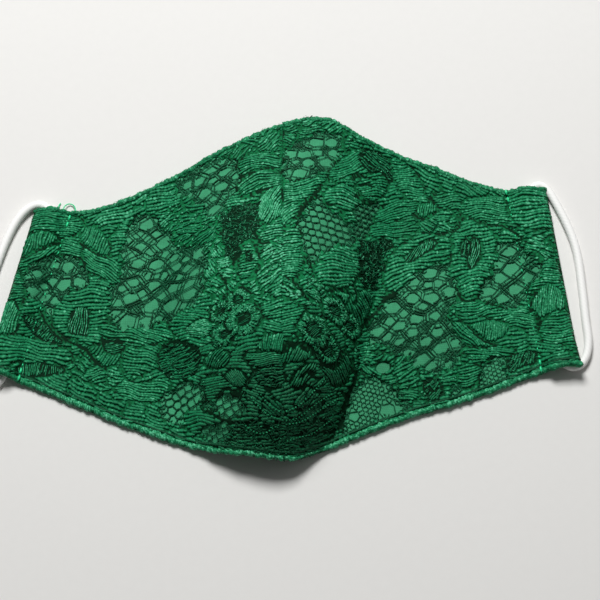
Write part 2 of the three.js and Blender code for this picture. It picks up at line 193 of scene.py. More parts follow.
LEAVES = (
    # left wing
    ("r", 2, 3, 1, (34, 214, 72, 216, 84, 222, 80, 232, 62, 238, 44, 236, 28, 232)),
    ("r", 68, 0, 1.05, (20, 254, 24, 244, 32, 237, 46, 234, 58, 238, 50, 247, 38, 254, 25, 259)),
    ("r", 62, 0, 0.9, (80, 238, 83, 229, 92, 226, 102, 232, 110, 246, 107, 256, 97, 255, 86, 248)),
    ("r", 28, 0, 1, (20, 260, 36, 257, 50, 248, 60, 242, 62, 254, 46, 260, 34, 268, 24, 280, 12, 284, 15,
     268)),
    ("r", -14, 3, 1, (60, 242, 74, 240, 84, 246, 90, 254, 84, 262, 74, 256, 62, 254)),
    ("r", -30, 2, 1, (84, 246, 98, 255, 112, 258, 120, 266, 122, 280, 112, 284, 98, 277, 84, 264)),
    ("r", -8, 0, 1.05, (15, 266, 24, 280, 26, 300, 18, 314, 2, 314, 8, 288)),
    ("r", -3, 2, 1.05, (90, 272, 102, 278, 118, 284, 112, 302, 107, 322, 100, 342, 92, 346, 78, 340, 62, 334,
     52, 324, 52, 312, 60, 300, 72, 291, 86, 288)),
    ("v", 84, 0, 1.3, (70, 333, 68, 322, 73, 312, 81, 306, 88, 311, 88, 330, 84, 336, 76, 336)),
    ("d", 50, 0, 0.75, (24, 318, 36, 320, 52, 330, 62, 342, 50, 342, 34, 334)),
    ("w", 78, 0, 1.3, (-4, 304, 14, 302, 20, 314, 18, 334, 4, 338, -12, 332)),
    ("r", -9, 2, 1, (-14, 342, 10, 339, 32, 338, 54, 344, 70, 352, 72, 362, 58, 366, 40, 361, 20, 362, 0, 372,
     -16, 374)),
    ("v", 88, 0, 1, (19, 366, 40, 362, 60, 366, 64, 372, 42, 376, 20, 376)),
    ("r", 64, 0, 0.85, (80, 348, 96, 344, 112, 347, 122, 357, 113, 366, 99, 366, 88, 359)),
    ("r", -14, 0, 1.05, (100, 322, 118, 327, 150, 327, 168, 322, 182, 328, 176, 338, 160, 342, 140, 346, 120,
     342, 104, 340)),
    ("v", 0, 0, 1.15, (104, 340, 118, 338, 124, 348, 114, 354, 104, 350)),
    ("r", -16, 0, 1, (122, 350, 138, 347, 158, 345, 170, 349, 165, 362, 152, 372, 134, 376, 124, 368)),
    ("r", -10, 2, 1.15, (114, 388, 124, 381, 140, 383, 158, 379, 171, 383, 166, 395, 154, 402, 138, 401, 122,
     397)),
    ("d", 20, 0, 0.7, (158, 356, 166, 346, 181, 342, 195, 347, 201, 358, 196, 372, 184, 379, 168, 377, 160,
     368)),
    ("r", -6, 2, 1.1, (168, 322, 182, 312, 200, 307, 216, 311, 225, 324, 217, 338, 204, 346, 188, 344, 176,
     336)),
    ("w", 0, 0, 1.3, (187, 330, 196, 321, 208, 318, 216, 326, 210, 336, 196, 338)),
    ("r", 2, 0, 1, (200, 382, 214, 376, 232, 378, 241, 386, 236, 394, 222, 396, 208, 399)),
    # middle, left of the seam
    ("r", 4, 4, 1.1, (238, 165, 246, 157, 260, 153, 274, 155, 283, 160, 283, 173, 270, 168, 256, 171, 244,
     177)),
    ("r", 16, 3, 1.1, (238, 189, 244, 180, 254, 173, 266, 170, 278, 174, 283, 178, 283, 187, 270, 187, 258,
     193, 246, 199)),
    ("w", 58, 0, 1.05, (258, 208, 262, 197, 272, 188, 283, 186, 283, 214, 276, 222, 266, 226, 260, 219)),
    ("r", 12, 3, 1.15, (258, 240, 264, 229, 274, 221, 283, 217, 283, 236, 276, 237, 266, 243)),
    ("r", 0, 2, 1.15, (238, 272, 240, 257, 246, 244, 252, 240, 258, 250, 259, 263, 252, 275, 244, 281)),
    ("d", 0, 0, 0.6, (244, 259, 248, 250, 252, 254, 251, 262)),
    ("w", 0, 0, 1, (246, 353, 262, 351, 283, 352, 283, 365, 266, 367, 250, 363)),
    ("w", 84, 0, 1.1, (258, 349, 262, 339, 272, 332, 283, 335, 283, 351, 268, 351)),
    ("d", 0, 0, 0.8, (256, 368, 283, 367, 283, 384, 272, 390, 258, 380)),
    # middle, right of the seam
    ("r", 11, 2, 1.1, (283, 185, 300, 180, 318, 177, 327, 181, 316, 192, 304, 200, 294, 205, 283, 207)),
    ("r", 27, 2, 1.05, (283, 209, 296, 205, 308, 198, 313, 202, 304, 214, 296, 222, 288, 226, 283, 224)),
    ("r", 0, 2, 1.1, (283, 238, 288, 228, 297, 222, 301, 236, 302, 250, 304, 262, 297, 276, 283, 278)),
    ("r", 22, 0, 1.05, (328, 172, 340, 160, 352, 152, 362, 154, 366, 164, 356, 172, 344, 177, 332, 181)),
    ("d", -40, 0, 0.85, (360, 152, 372, 151, 390, 161, 396, 172, 392, 182, 380, 180, 368, 170, 360, 162)),
    ("r", -2, 3, 1, (355, 188, 362, 178, 374, 172, 386, 176, 387, 188, 380, 198, 368, 200)),
    ("r", -12, 3, 1.1, (321, 197, 330, 188, 342, 184, 352, 188, 358, 198, 358, 212, 354, 226, 346, 217, 336,
     207, 326, 203)),
    ("r", -4, 2, 1, (316, 262, 324, 253, 336, 247, 350, 249, 358, 256, 359, 270, 352, 284, 338, 288, 322, 284,
     312, 272)),
    ("w", 80, 0, 0.95, (322, 300, 328, 290, 342, 288, 350, 296, 346, 304, 330, 304)),
    ("w", 72, 0, 0.95, (283, 354, 292, 346, 304, 346, 310, 354, 302, 361, 290, 362, 283, 362)),
    # middle, below the ridge
    ("w", 60, 0, 1, (206, 364, 210, 354, 221, 349, 231, 353, 227, 364, 216, 369)),
    ("w", -52, 0, 0.8, (226, 377, 233, 368, 245, 373, 247, 384, 238, 387)),
    ("r", 12, 1, 1.05, (260, 307, 274, 300, 296, 302, 300, 311, 284, 317, 266, 317)),
    ("r", -8, 1, 1.05, (262, 322, 276, 318, 296, 319, 299, 328, 284, 332, 266, 331)),
    # middle, right of the seam
    ("w", 60, 0, 0.9, (290, 384, 294, 373, 304, 364, 314, 362, 314, 371, 306, 379, 298, 387)),
    ("r", 0, 0, 1, (283, 308, 296, 304, 306, 310, 306, 322, 298, 332, 283, 334)),
    ("w", -62, 0, 0.6, (320, 362, 332, 352, 344, 354, 350, 366, 344, 382, 332, 386, 324, 376)),
    ("w", -70, 0, 0.75, (344, 306, 352, 294, 364, 290, 372, 298, 366, 316, 356, 330, 348, 322)),
    # right wing
    ("r", 2, 2, 1.05, (390, 158, 401, 161, 412, 168, 421, 180, 426, 193, 430, 203, 420, 206, 406, 197, 396,
     185, 391, 172)),
    ("r", 9, 3, 0.95, (374, 218, 386, 205, 400, 200, 415, 200, 420, 207, 411, 215, 398, 220, 384, 223)),
    ("w", 84, 0, 0.95, (416, 215, 420, 204, 430, 202, 437, 208, 430, 217, 422, 219)),
    ("r", 3, 2, 0.95, (368, 234, 376, 225, 392, 222, 408, 222, 420, 227, 415, 233, 400, 237, 384, 241)),
    ("r", -2, 2, 1, (432, 196, 448, 192, 464, 198, 468, 212, 460, 218, 448, 208, 438, 206)),
    ("r", 10, 4, 1.1, (386, 264, 396, 250, 410, 240, 428, 234, 444, 236, 453, 246, 448, 258, 438, 264, 424,
     270, 412, 278, 402, 288, 394, 297, 386, 290, 383, 277)),
    ("v", 62, 0, 1.05, (404, 259, 414, 248, 426, 240, 437, 240, 434, 248, 422, 256, 410, 262)),
    ("r", 4, 2, 1.1, (452, 250, 452, 236, 458, 226, 467, 218, 477, 222, 487, 227, 496, 236, 498, 250, 494,
     262, 490, 276, 482, 288, 476, 298, 467, 300, 459, 293, 452, 280, 450, 266)),
    ("d", 80, 0, 0.6, (461, 254, 462, 242, 468, 238, 470, 250, 466, 258)),
    ("v", 78, 0, 1.25, (467, 262, 470, 250, 472, 238, 478, 238, 481, 248, 478, 261, 471, 269)),
    ("r", -1, 1, 1.05, (462, 201, 480, 197, 504, 197, 511, 212, 512, 222, 498, 222, 480, 220, 466, 216)),
    ("r", 0, 1, 1.2, (508, 195, 546, 192, 550, 208, 554, 228, 541, 233, 526, 231, 513, 221, 507, 206)),
    ("r", 6, 0, 1.1, (540, 268, 556, 262, 560, 284, 552, 288, 540, 290, 530, 296, 528, 290, 538, 280)),
    ("w", 80, 0, 0.9, (530, 315, 532, 302, 540, 291, 550, 288, 560, 294, 564, 308, 556, 317, 541, 321)),
    ("r", 2, 0, 1.05, (544, 322, 566, 312, 574, 332, 577, 346, 560, 348, 544, 344, 540, 332)),
    ("r", 3, 2, 1.05, (454, 305, 470, 302, 490, 302, 510, 308, 527, 306, 537, 316, 537, 328, 520, 327, 500,
     320, 480, 316, 462, 314)),
    ("w", 80, 0, 0.8, (470, 325, 484, 320, 500, 320, 509, 328, 500, 339, 489, 342, 478, 335)),
    ("r", -42, 0, 0.95, (452, 322, 462, 322, 472, 331, 484, 341, 497, 345, 480, 347, 464, 341, 454, 332)),
    ("r", -4, 0, 0.95, (462, 347, 480, 349, 500, 346, 516, 350, 507, 357, 492, 356, 484, 364, 470, 360)),
    ("r", 9, 0, 0.95, (458, 368, 470, 364, 481, 367, 477, 380, 468, 388, 458, 385)),
    ("d", 60, 0, 0.7, (508, 358, 524, 352, 538, 352, 536, 362, 520, 368, 510, 372)),
    ("d", 40, 0, 0.7, (424, 384, 434, 379, 442, 386, 440, 397, 430, 400)),
)
NETS = (
    ((136, 216, 150, 214, 160, 226, 171, 236, 180, 248, 190, 246, 200, 244, 208, 254, 206, 270, 204, 284, 200,
     298, 190, 306, 174, 318, 160, 322, 150, 327, 120, 328, 112, 318, 108, 302, 112, 286, 121, 276, 122, 264,
     122, 250, 126, 234), (147, 224, 7, 157, 233, 4, 165, 242, 7.5, 140, 246, 5, 128, 240, 4, 175, 257, 5,
     200, 253, 7, 187, 258, 4, 138, 263, 6, 157, 264, 7, 178, 266, 5, 148, 275, 3.5, 157, 275, 3.5, 165, 275,
     3.5, 195, 272, 5, 134, 282, 5, 122, 288, 4, 154, 285, 6, 174, 287, 6, 190, 283, 5, 130, 297, 7, 118, 302,
     4, 152, 305, 8, 171, 305, 8, 191, 293, 6.5, 163, 295, 4, 142, 292, 4, 127, 320, 7.5, 145, 320, 6, 115,
     312, 4, 180, 276, 4, 185, 304, 4)),
    ((25, 282, 34, 268, 46, 260, 62, 255, 76, 258, 84, 267, 89, 277, 85, 286, 71, 290, 62, 298, 55, 309, 47,
     313, 40, 303, 28, 297), (55, 265, 5, 68, 266, 6.5, 38, 276, 5, 30, 280, 4, 52, 281, 5, 64, 284, 7, 79,
     281, 5.5, 33, 293, 6, 45, 297, 5, 55, 300, 5, 48, 308, 4, 44, 286, 4)),
    ((176, 181, 190, 172, 206, 163, 222, 157, 236, 163, 240, 176, 236, 190, 228, 200, 222, 214, 208, 217, 200,
     206, 190, 198, 178, 192), (225, 172, 6, 212, 170, 5, 222, 186, 6.5, 205, 193, 7, 215, 209, 6, 200, 181,
     6, 188, 185, 5, 236, 176, 4, 222, 162, 4, 190, 194, 4, 205, 205, 4)),
    ((286, 150, 304, 139, 320, 132, 336, 134, 342, 142, 338, 154, 332, 166, 322, 172, 310, 178, 296, 180, 284,
     179, 284, 160), (316, 142, 6, 331, 142, 6.5, 333, 152, 5, 290, 154, 6.5, 305, 154, 6.5, 308, 162, 6, 326,
     162, 6, 287, 172, 5, 299, 173, 6.5, 318, 152, 4, 340, 144, 3)),
    ((452, 262, 448, 268, 456, 282, 458, 296, 452, 304, 448, 318, 454, 330, 463, 342, 460, 356, 451, 368, 432,
     372, 418, 366, 408, 356, 396, 352, 386, 346, 374, 341, 367, 331, 380, 312, 384, 301, 396, 295, 404, 284,
     416, 274, 430, 266), (430, 272, 7, 413, 281, 6.5, 445, 273, 5, 432, 297, 7.5, 450, 291, 6.5, 413, 297,
     6.5, 393, 307, 7.5, 436, 315, 5, 416, 318, 6, 378, 331, 6.5, 438, 331, 6, 400, 325, 6, 413, 332, 5, 441,
     347, 7, 423, 358, 7, 387, 336, 5, 450, 364, 5.5, 432, 364, 5, 408, 352, 5, 428, 284, 4, 404, 312, 4, 424,
     305, 4, 456, 342, 5, 426, 340, 5, 390, 320, 5)),
    ((500, 244, 514, 242, 524, 250, 534, 262, 542, 272, 536, 282, 528, 290, 524, 302, 512, 308, 498, 304, 484,
     300, 478, 292, 486, 282, 494, 270, 496, 256), (510, 251, 6.5, 499, 264, 5, 511, 268, 8, 500, 277, 6.5,
     526, 258, 5.5, 536, 272, 4.5, 528, 278, 6, 487, 291, 6.5, 515, 289, 6.5, 502, 298, 6)),
)
LONE_CELLS = (383, 367, 7)
BIG_CELLS = (388, 411, 7.5, 399, 409, 5, 354, 416, 4.5)
MESHES = (
    (7.6, "open", (316, 196, 324, 203, 334, 213, 344, 221, 353, 222, 357, 232, 354, 243, 345, 246, 334, 245,
     324, 252, 314, 262, 306, 259, 303, 246, 300, 232, 298, 222, 304, 212)),
    (8.8, "open", (160, 404, 166, 392, 180, 384, 192, 381, 202, 386, 206, 398, 200, 406, 186, 412, 184, 424,
     170, 424, 162, 414)),
    (8.4, "open", (206, 404, 216, 398, 232, 394, 242, 400, 243, 414, 232, 418, 216, 412)),
    (7, "open", (204, 428, 216, 423, 228, 424, 230, 436, 218, 442, 206, 440)),
    (6, "dark", (355, 206, 366, 203, 379, 202, 376, 213, 370, 225, 366, 237, 356, 241, 350, 233, 354, 219)),
    (4.2, "tangle", (222, 216, 240, 206, 257, 203, 258, 222, 256, 238, 244, 240, 238, 256, 232, 262, 224,
     246)),
    (4.2, "tangle", (360, 246, 376, 240, 392, 242, 384, 262, 380, 278, 372, 290, 362, 286, 359, 268)),
    (4.6, "open", (480, 379, 484, 365, 494, 357, 504, 358, 508, 370, 502, 382, 490, 389, 482, 388)),
    (4.8, "open", (344, 428, 346, 408, 352, 390, 364, 380, 380, 378, 390, 386, 400, 398, 410, 404, 402, 412,
     386, 418, 372, 424, 356, 434)),
    (5, "open", (300, 418, 304, 408, 316, 402, 322, 408, 314, 418)),
    (5, "open", (450, 400, 452, 388, 460, 384, 462, 394, 458, 404)),
)
FLOWERS = (
    (221, 312, 10.5, 5, 4),
    (239, 300, 11.5, 5, 4.5),
    (225, 334, 12, 5, 4),
    (326, 350, 14, 5, 6),
    (244, 319, 16.5, 6, 6.5),
    (348, 326, 11.5, 5, 5),
    (313, 330, 15, 6, 7),
    (334, 311, 13, 5, 5.5),
)
CHAINS = (
    (256, 384, 262, 394, 270, 404, 281, 411),
    (285, 410, 296, 405, 306, 396, 316, 386, 324, 376),
    (252, 396, 262, 408, 272, 415, 281, 418),
    (285, 419, 296, 417, 306, 410, 316, 402, 330, 393),
    (246, 424, 254, 430, 264, 432, 274, 426, 281, 422),
    (285, 423, 298, 421, 310, 415, 322, 407, 336, 398),
    (286, 440, 298, 436, 310, 433, 320, 426, 332, 417),
)
# Gaps between ribs: the ground shows there and is painted dark, as shade
GAPS = (
    (3, (322, 183, 318, 190, 310, 199, 303, 206, 299, 214, 292, 220)),
    (1.6, (240, 182, 248, 175, 260, 169, 272, 168, 281, 173)),
    (1.8, (240, 198, 252, 194, 262, 190, 272, 187)),
    (2.2, (256, 233, 261, 243, 268, 242, 276, 238)),
    (1.4, (252, 241, 258, 252, 260, 263, 254, 276)),
    (1.6, (241, 246, 236, 258, 231, 270)),
    (2, (220, 274, 226, 284, 228, 293, 222, 298)),
    (1.8, (284, 276, 292, 281, 300, 288, 305, 297, 312, 301)),
    (2.2, (304, 261, 309, 265, 312, 270)),
    (1.8, (328, 292, 336, 290, 344, 291, 350, 297)),
    (1.8, (352, 286, 357, 296, 352, 305)),
    (2.6, (393, 291, 384, 302, 376, 312, 368, 320, 362, 328)),
    (1.8, (350, 180, 358, 176, 368, 178, 376, 182)),
    (2.2, (358, 186, 364, 184, 372, 187)),
    (2, (354, 195, 360, 200, 368, 203, 380, 202)),
    (2.6, (310, 347, 318, 356, 321, 364, 329, 366, 337, 360, 341, 350)),
    (2, (284, 347, 292, 342, 300, 345, 307, 351)),
    (1.8, (298, 377, 306, 371, 313, 374)),
    (3, (348, 366, 356, 376, 350, 388, 346, 400, 343, 414, 338, 430)),
    (2, (216, 398, 226, 389, 236, 392, 241, 398)),
    (2.4, (202, 409, 216, 415, 232, 422, 246, 421)),
    (1.8, (73, 256, 80, 258, 85, 264, 84, 271)),
    (1.6, (40, 311, 46, 322, 54, 333, 60, 339)),
    (2, (62, 337, 72, 343, 82, 347, 90, 354, 97, 363, 106, 369)),
    (2, (158, 354, 166, 345, 176, 342, 187, 343, 194, 349)),
    (1.4, (104, 341, 120, 341, 136, 342)),
    (1.4, (24, 262, 38, 257, 50, 249, 62, 243)),
    (1.6, (80, 243, 90, 250, 100, 256, 112, 260)),
    (1.4, (480, 221, 492, 226, 503, 226, 512, 231, 520, 238, 525, 245)),
    (1.3, (452, 312, 462, 322, 472, 331, 484, 341, 497, 346)),
    (1.3, (478, 300, 490, 304, 502, 307, 514, 308)),
    (1.5, (454, 281, 458, 292, 465, 301, 477, 299)),
    (1.6, (381, 298, 391, 296, 400, 290)),
    (1.3, (530, 315, 532, 303, 540, 292)),
    (1.5, (414, 213, 422, 219, 431, 216)),
    (1.5, (422, 233, 436, 234, 450, 232, 461, 227)),
    (1.4, (458, 210, 462, 219, 457, 226)),
    (1.8, (384, 245, 390, 242, 394, 248)),
)

# Styles of filling: r ribbed, w finely ribbed, s lobed, d dark, v veined, h a flower's heart, f its petals.
# Each has the distance and width of its ribs, their rise over the ground, how far the motif is padded, the
# ribs' waver, the share of their length that is left out and their tone.
STYLES = dict(zip("rwsdvhf", table("pitch width rise pad waver breaks tone", [
    (1.35, 1.45, 0.38, 0.3, 0.14, 0.0, 0.84),
    (1.0, 1.1, 0.34, 0.6, 0.1, 0.0, 1.0),
    (1.2, 1.3, 0.38, 0.25, 0.34, 0.05, 1.0),
    (1.3, 1.1, 0.3, 0.1, 0.25, 0.1, 1.0),
    (0.9, 0.62, 0.34, 0.2, 0.12, 0.03, 1.0),
    (0.9, 0.6, 0.2, 0.0, 0.2, 0.1, 1.0),
    (0.6, 0.85, 0.34, 0.5, 0.1, 0.0, 1.0),
])))
# A motif: its style, the turn of its ribs in degrees, their arch in mm, its tone and closed outline
Motif = namedtuple("Motif", "kind turn arch tone loop")


def linear(code):
    """Linear colour of an sRGB hex value."""
    parts = [int(code[k:k + 2], 16) / 255 for k in (1, 3, 5)]
    return tuple(c / 12.92 if c <= 0.04045 else ((c + 0.055) / 1.055) ** 2.4 for c in parts)


# The form of the cloth

def unit(vectors):
    """Vectors of length 1 in the same directions."""
    return vectors / np.linalg.norm(vectors, axis=-1, keepdims=True)


def sample(values, at):
    """Smooth value between the entries of a column."""
    last = len(values) - 1
    place = np.clip(np.asarray(at, float), 0, last)
    i = np.minimum(place.astype(int), last - 1)
    t = place - i
    a, b, c, d = (values[np.clip(i + k, 0, last)] for k in (-1, 0, 1, 2))
    return b + 0.5 * t * (c - a + t * (2 * a - 5 * b + 4 * c - d + t * (3 * (b - c) + d - a)))


def height(x, y):
    """Height of the lining's underside over the floor."""
    at = (DOME_NOSE_Y - y) / DOME_STEP_Y
    ridge = sample(DOME["ridge_x"], at)
    on_right = x > ridge
    foot = np.where(on_right, sample(DOME["right_foot"], at), sample(DOME["left_foot"], at))
    reach = np.clip((x - ridge) / (foot - ridge), 0, 1)
    tuck = np.where(on_right, sample(DOME["tuck"], at), 0)
    fall = np.cos(np.pi * reach / 2)
    share = (1 - tuck) * fall**2 + tuck * fall
    dome = (sample(DOME["ridge_z"], at) + DOME_SINK) * share - DOME_SINK
    swell = np.zeros_like(dome)
    for s in SWELLS:
        r2 = ((x - s["x"]) / s["half_x"])**2 + ((y - s["y"]) / s["half_y"])**2
        swell = np.maximum(swell, s["height"] * np.maximum(1 - r2, 0)**2)
    blend = np.maximum(CREASE_BLEND - np.abs(dome - swell), 0) / CREASE_BLEND
    return np.maximum(dome, swell) + blend**2 * CREASE_BLEND / 4


def camera_axes():
    """Directions towards the camera, and to the right and up in its picture."""
    elevation, roll = math.radians(CAMERA_ELEVATION), math.radians(CAMERA_ROLL)
    back = np.array([0, -math.cos(elevation), math.sin(elevation)])
    level = np.array([1.0, 0, 0])
    rise = np.array([0, math.sin(elevation), math.cos(elevation)])
    right = level * math.cos(roll) - rise * math.sin(roll)
    up = level * math.sin(roll) + rise * math.cos(roll)
    return back, right, up


def on_lace(pixels):
    """Plan points, in mm, of the lace that shows at places in the photograph's frame."""
    back, right, up = camera_axes()
    across, down = ((pixels[:, k] - AIM_PIXEL[k])[:, None] / FOCUS for k in (0, 1))
    ray = right * across - up * down - back
    eye = np.array(CAMERA_AIM) + back * CAMERA_DISTANCE
    z = np.zeros(len(pixels))
    for _ in range(60):
        plan = eye[:2] + ray[:, :2] * ((z - eye[2]) / ray[:, 2])[:, None]
        z = 0.7 * z + 0.3 * (height(*plan.T) + LACE_TOP)
    return plan


def right_of(x, y, ax, ay, bx, by):
    """How far a plan point lies to the right of the line from a to b."""
    return ((x - ax) * (by - ay) - (y - ay) * (bx - ax)) / math.hypot(bx - ax, by - ay)


def past_line(x, y, row, outward):
    """How far a plan point lies outside a section's line."""
    return outward * right_of(x, y, *SECTIONS[row])


def past_seam(x, y):
    """How far a plan point lies to the right of the centre seam."""
    return past_line(x, y, SEAM_ROW, 1.0)


def plan_point(s, v):
    """Plan point on section s, at the share v of the way from the lower hem to the upper hem."""
    lower_x, lower_y, upper_x, upper_y = (sample(SECTIONS[name], s) for name in SECTIONS.dtype.names)
    return lower_x + (upper_x - lower_x) * v, lower_y + (upper_y - lower_y) * v


def corner_lift(x, y, fold, stitch, across):
    """Height that a casing's skin gains at its lower corner."""
    from_hem = []
    for name in ("lower", "upper"):
        hem = (SECTIONS[f"{name}_{axis}"][row] for row in (stitch, fold) for axis in "xy")
        from_hem.append(np.abs(right_of(x, y, *hem)))
    near = np.clip(1 - from_hem[0] / (from_hem[0] + from_hem[1]) / LIFT_LENGTH, 0, 1)
    return CORNER_LIFT * near**2 * (3 - 2 * near) * np.maximum(1 - across / LIFT_WIDTH, 0)


def skin_height(x, y):
    """Height of the lining's outer skin over the floor."""
    step = 0.1
    dx = (height(x + step, y) - height(x - step, y)) / (2 * step)
    dy = (height(x, y + step) - height(x, y - step)) / (2 * step)
    z = height(x, y) + LINING_THICKNESS * np.minimum(np.sqrt(1 + dx**2 + dy**2), 2.5)
    t = np.linspace(0, len(CASING) - 1, 90)
    arc_across, arc_rise = sample(CASING["across"], t)[::-1], sample(CASING["rise"], t)[::-1]
    for side, fold, stitch, outward in SIDES:
        past = past_line(x, y, stitch, outward)
        left = -past_line(x, y, fold, outward)
        across = np.clip(left / np.maximum(left + past, 1e-6), 0, 1)
        near = np.clip(1 + past / STITCH_REACH, 0, 1)
        step_up = (CASING["rise"][0] - LINING_THICKNESS) * near**2 * (3 - 2 * near)
        casing = np.interp(across, arc_across, arc_rise)
        if side == "right":
            casing = casing + corner_lift(x, y, fold, stitch, across)
        z = np.where(past > 0, casing, z + step_up)
    return z


FIELD_STEP = 0.5
FIELD_X = np.arange(-134.0, 132.0, FIELD_STEP)
FIELD_Y = np.arange(-82.0, 82.0, FIELD_STEP)
FIELD = skin_height(*np.meshgrid(FIELD_X, FIELD_Y))
FIELD_SLOPE_Y, FIELD_SLOPE_X = np.gradient(FIELD, FIELD_STEP)


def read_field(field, x, y):
    """Value of a field between its grid points."""
    gx = np.clip((x - FIELD_X[0]) / FIELD_STEP, 0, len(FIELD_X) - 1.001)
    gy = np.clip((y - FIELD_Y[0]) / FIELD_STEP, 0, len(FIELD_Y) - 1.001)
    i, j = gx.astype(int), gy.astype(int)
    a, b = gx - i, gy - j
    top = field[j, i] * (1 - a) + field[j, i + 1] * a
    return top * (1 - b) + (field[j + 1, i] * (1 - a) + field[j + 1, i + 1] * a) * b


def skin(x, y):
    """Points of the lining's outer skin and its normals."""
    slope_x, slope_y = read_field(FIELD_SLOPE_X, x, y), read_field(FIELD_SLOPE_Y, x, y)
    normal = unit(np.stack([-slope_x, -slope_y, np.ones_like(slope_x)], axis=-1))
    return np.stack([x, y, read_field(FIELD, x, y)], axis=-1), normal


# The picture plane: the plan sheared so that a level line is one that looks level from in front and above,
# from where distances in depth look shorter by a factor
LEAN = math.tan(math.radians(20))
FORESHORTENING = 0.94


def from_picture(x, level):
    """Plan y of points on the skin that lie on given level lines."""
    y = level
    for _ in range(11):
        y = level - LEAN * read_field(FIELD, x, y)
    return y


def picture_axes(loop, angle):
    """A plan line's places along and across a direction in the picture plane, and its cosine and sine."""
    base, _ = skin(*loop.T)
    level = base[:, 1] + LEAN * base[:, 2]
    c, s = math.cos(angle), math.sin(angle)
    return loop[:, 0] * c + level * s, level * c - loop[:, 0] * s, c, s


# The chart, as a raster of what lies on top at each place in plan

CELL = 0.25
NET_ID, MESH_ID, LONE_ID, GAP_ID, OUTSIDE = 1000, 2000, 3000, 4000, -1
CHART_X = np.arange(-122.0, 122.0, CELL)
CHART_Y = np.arange(-74.0, 74.0, CELL)


def points_of(numbers):
    """A line of the chart, given as x and y in turn, as rows of plan points."""
    return on_lace(np.array(numbers, float).reshape(-1, 2))


def cells_of(numbers):
    """Cells of the chart, given as x, y and radius in turn, as rows of plan point and radius in mm."""
    cells = np.array(numbers, float).reshape(-1, 3)
    return np.column_stack([on_lace(cells[:, :2]), cells[:, 2] * PIXEL])


def smooth_loop(points, steps=5):
    """A closed smooth line through points."""
    count = len(points)
    at = np.arange(count * steps) / steps
    around = np.concatenate([points[-2:], points, points[:3]])
    return np.stack([sample(around[:, k], at + 2) for k in (0, 1)], axis=1)


def run_along(line):
    """How far along a line each of its points lies."""
    return np.concatenate([[0], np.cumsum(np.linalg.norm(np.diff(line, axis=0), axis=1))])


def points_at(line, places):
    """Points of a line at given distances along it."""
    run = run_along(line)
    return np.stack([np.interp(places, run, column) for column in line.T], axis=1)


def smooth_line(points, spacing):
    """A smooth open line through points, with points a given distance apart."""
    points = np.array(points, float)
    at = np.linspace(0, len(points) - 1, 40 * len(points))
    line = np.stack([sample(column, at) for column in points.T], axis=1)
    length = run_along(line)[-1]
    return points_at(line, np.linspace(0, length, max(2, int(round(length / spacing)) + 1)))


def ring_line(loop, spacing):
    """A closed outline as an evenly spaced line that overlaps itself a little."""
    closed = np.concatenate([loop, loop[:2]])
    return points_at(closed, np.arange(0, run_along(closed)[-1], spacing))


def beside(line):
    """Unit vectors that point to the left of a plan line."""
    tangent = unit(np.gradient(line, axis=0))
    return np.stack([-tangent[:, 1], tangent[:, 0]], axis=1)


def paint(chart, loop, value):
    """Gives the cells inside a closed line a value."""
    lo, hi = loop.min(axis=0), loop.max(axis=0)
    cols = np.flatnonzero((CHART_X >= lo[0]) & (CHART_X <= hi[0]))
    rows = np.flatnonzero((CHART_Y >= lo[1]) & (CHART_Y <= hi[1]))
    if not len(cols) or not len(rows):
        return
    x, y = CHART_X[cols][None, :], CHART_Y[rows][:, None]
    inside = np.zeros((len(rows), len(cols)), bool)
    for (xa, ya), (xb, yb) in zip(loop, np.roll(loop, -1, axis=0)):
        if ya != yb:
            inside ^= ((ya > y) != (yb > y)) & (x < (xb - xa) * (y - ya) / (yb - ya) + xa)
    chart[np.ix_(rows, cols)] = np.where(inside, value, chart[np.ix_(rows, cols)])


def ellipse(x, y, half_wide, half_high):
    """Outline of an ellipse in plan."""
    a = np.linspace(0, 2 * np.pi, 20, endpoint=False)
    return np.stack([x + half_wide * np.cos(a), y + half_high * np.sin(a)], axis=1)


def ribbon(line, width):
    """Closed outline of a band along a line, narrow at its two ends."""
    half = width / 2 * np.sin(np.linspace(0.5, np.pi - 0.5, len(line)))[:, None]
    edge = beside(line) * half
    return np.concatenate([line + edge, (line - edge)[::-1]])


# What a gap is wider than charted, in mm, and how much larger than itself a flower's place is
GAP_MORE, FLOWER_MARGIN = 0.15, 1.07
# Size of a strip's lobes and how far their ribs turn, in degrees
LOBES = {"r": (15.0, 10), "s": (8.5, 38), "d": (15.0, 10)}


def lobe_map(size, rng):
    """Middles of lobes strewn over the chart, and a raster of the lobe that each place is in."""
    stray, row_step = 0.4 * size, 0.85 * size
    middles = [(x + rng.uniform(-stray, stray), y + rng.uniform(-stray, stray))
               for x in np.arange(CHART_X[0], CHART_X[-1], size)
               for y in np.arange(CHART_Y[0], CHART_Y[-1], row_step)]
    nearest = np.full((len(CHART_Y), len(CHART_X)), np.inf)
    lobe = np.zeros(nearest.shape, int)
    for number, (mx, my) in enumerate(middles):
        cols = slice(*np.searchsorted(CHART_X, (mx - 2 * size, mx + 2 * size)))
        rows = slice(*np.searchsorted(CHART_Y, (my - 2 * size, my + 2 * size)))
        far = np.hypot(CHART_X[cols][None] - mx, CHART_Y[rows][:, None] - my)
        closer = far < nearest[rows, cols]
        lobe[rows, cols][closer] = number
        nearest[rows, cols][closer] = far[closer]
    return middles, lobe


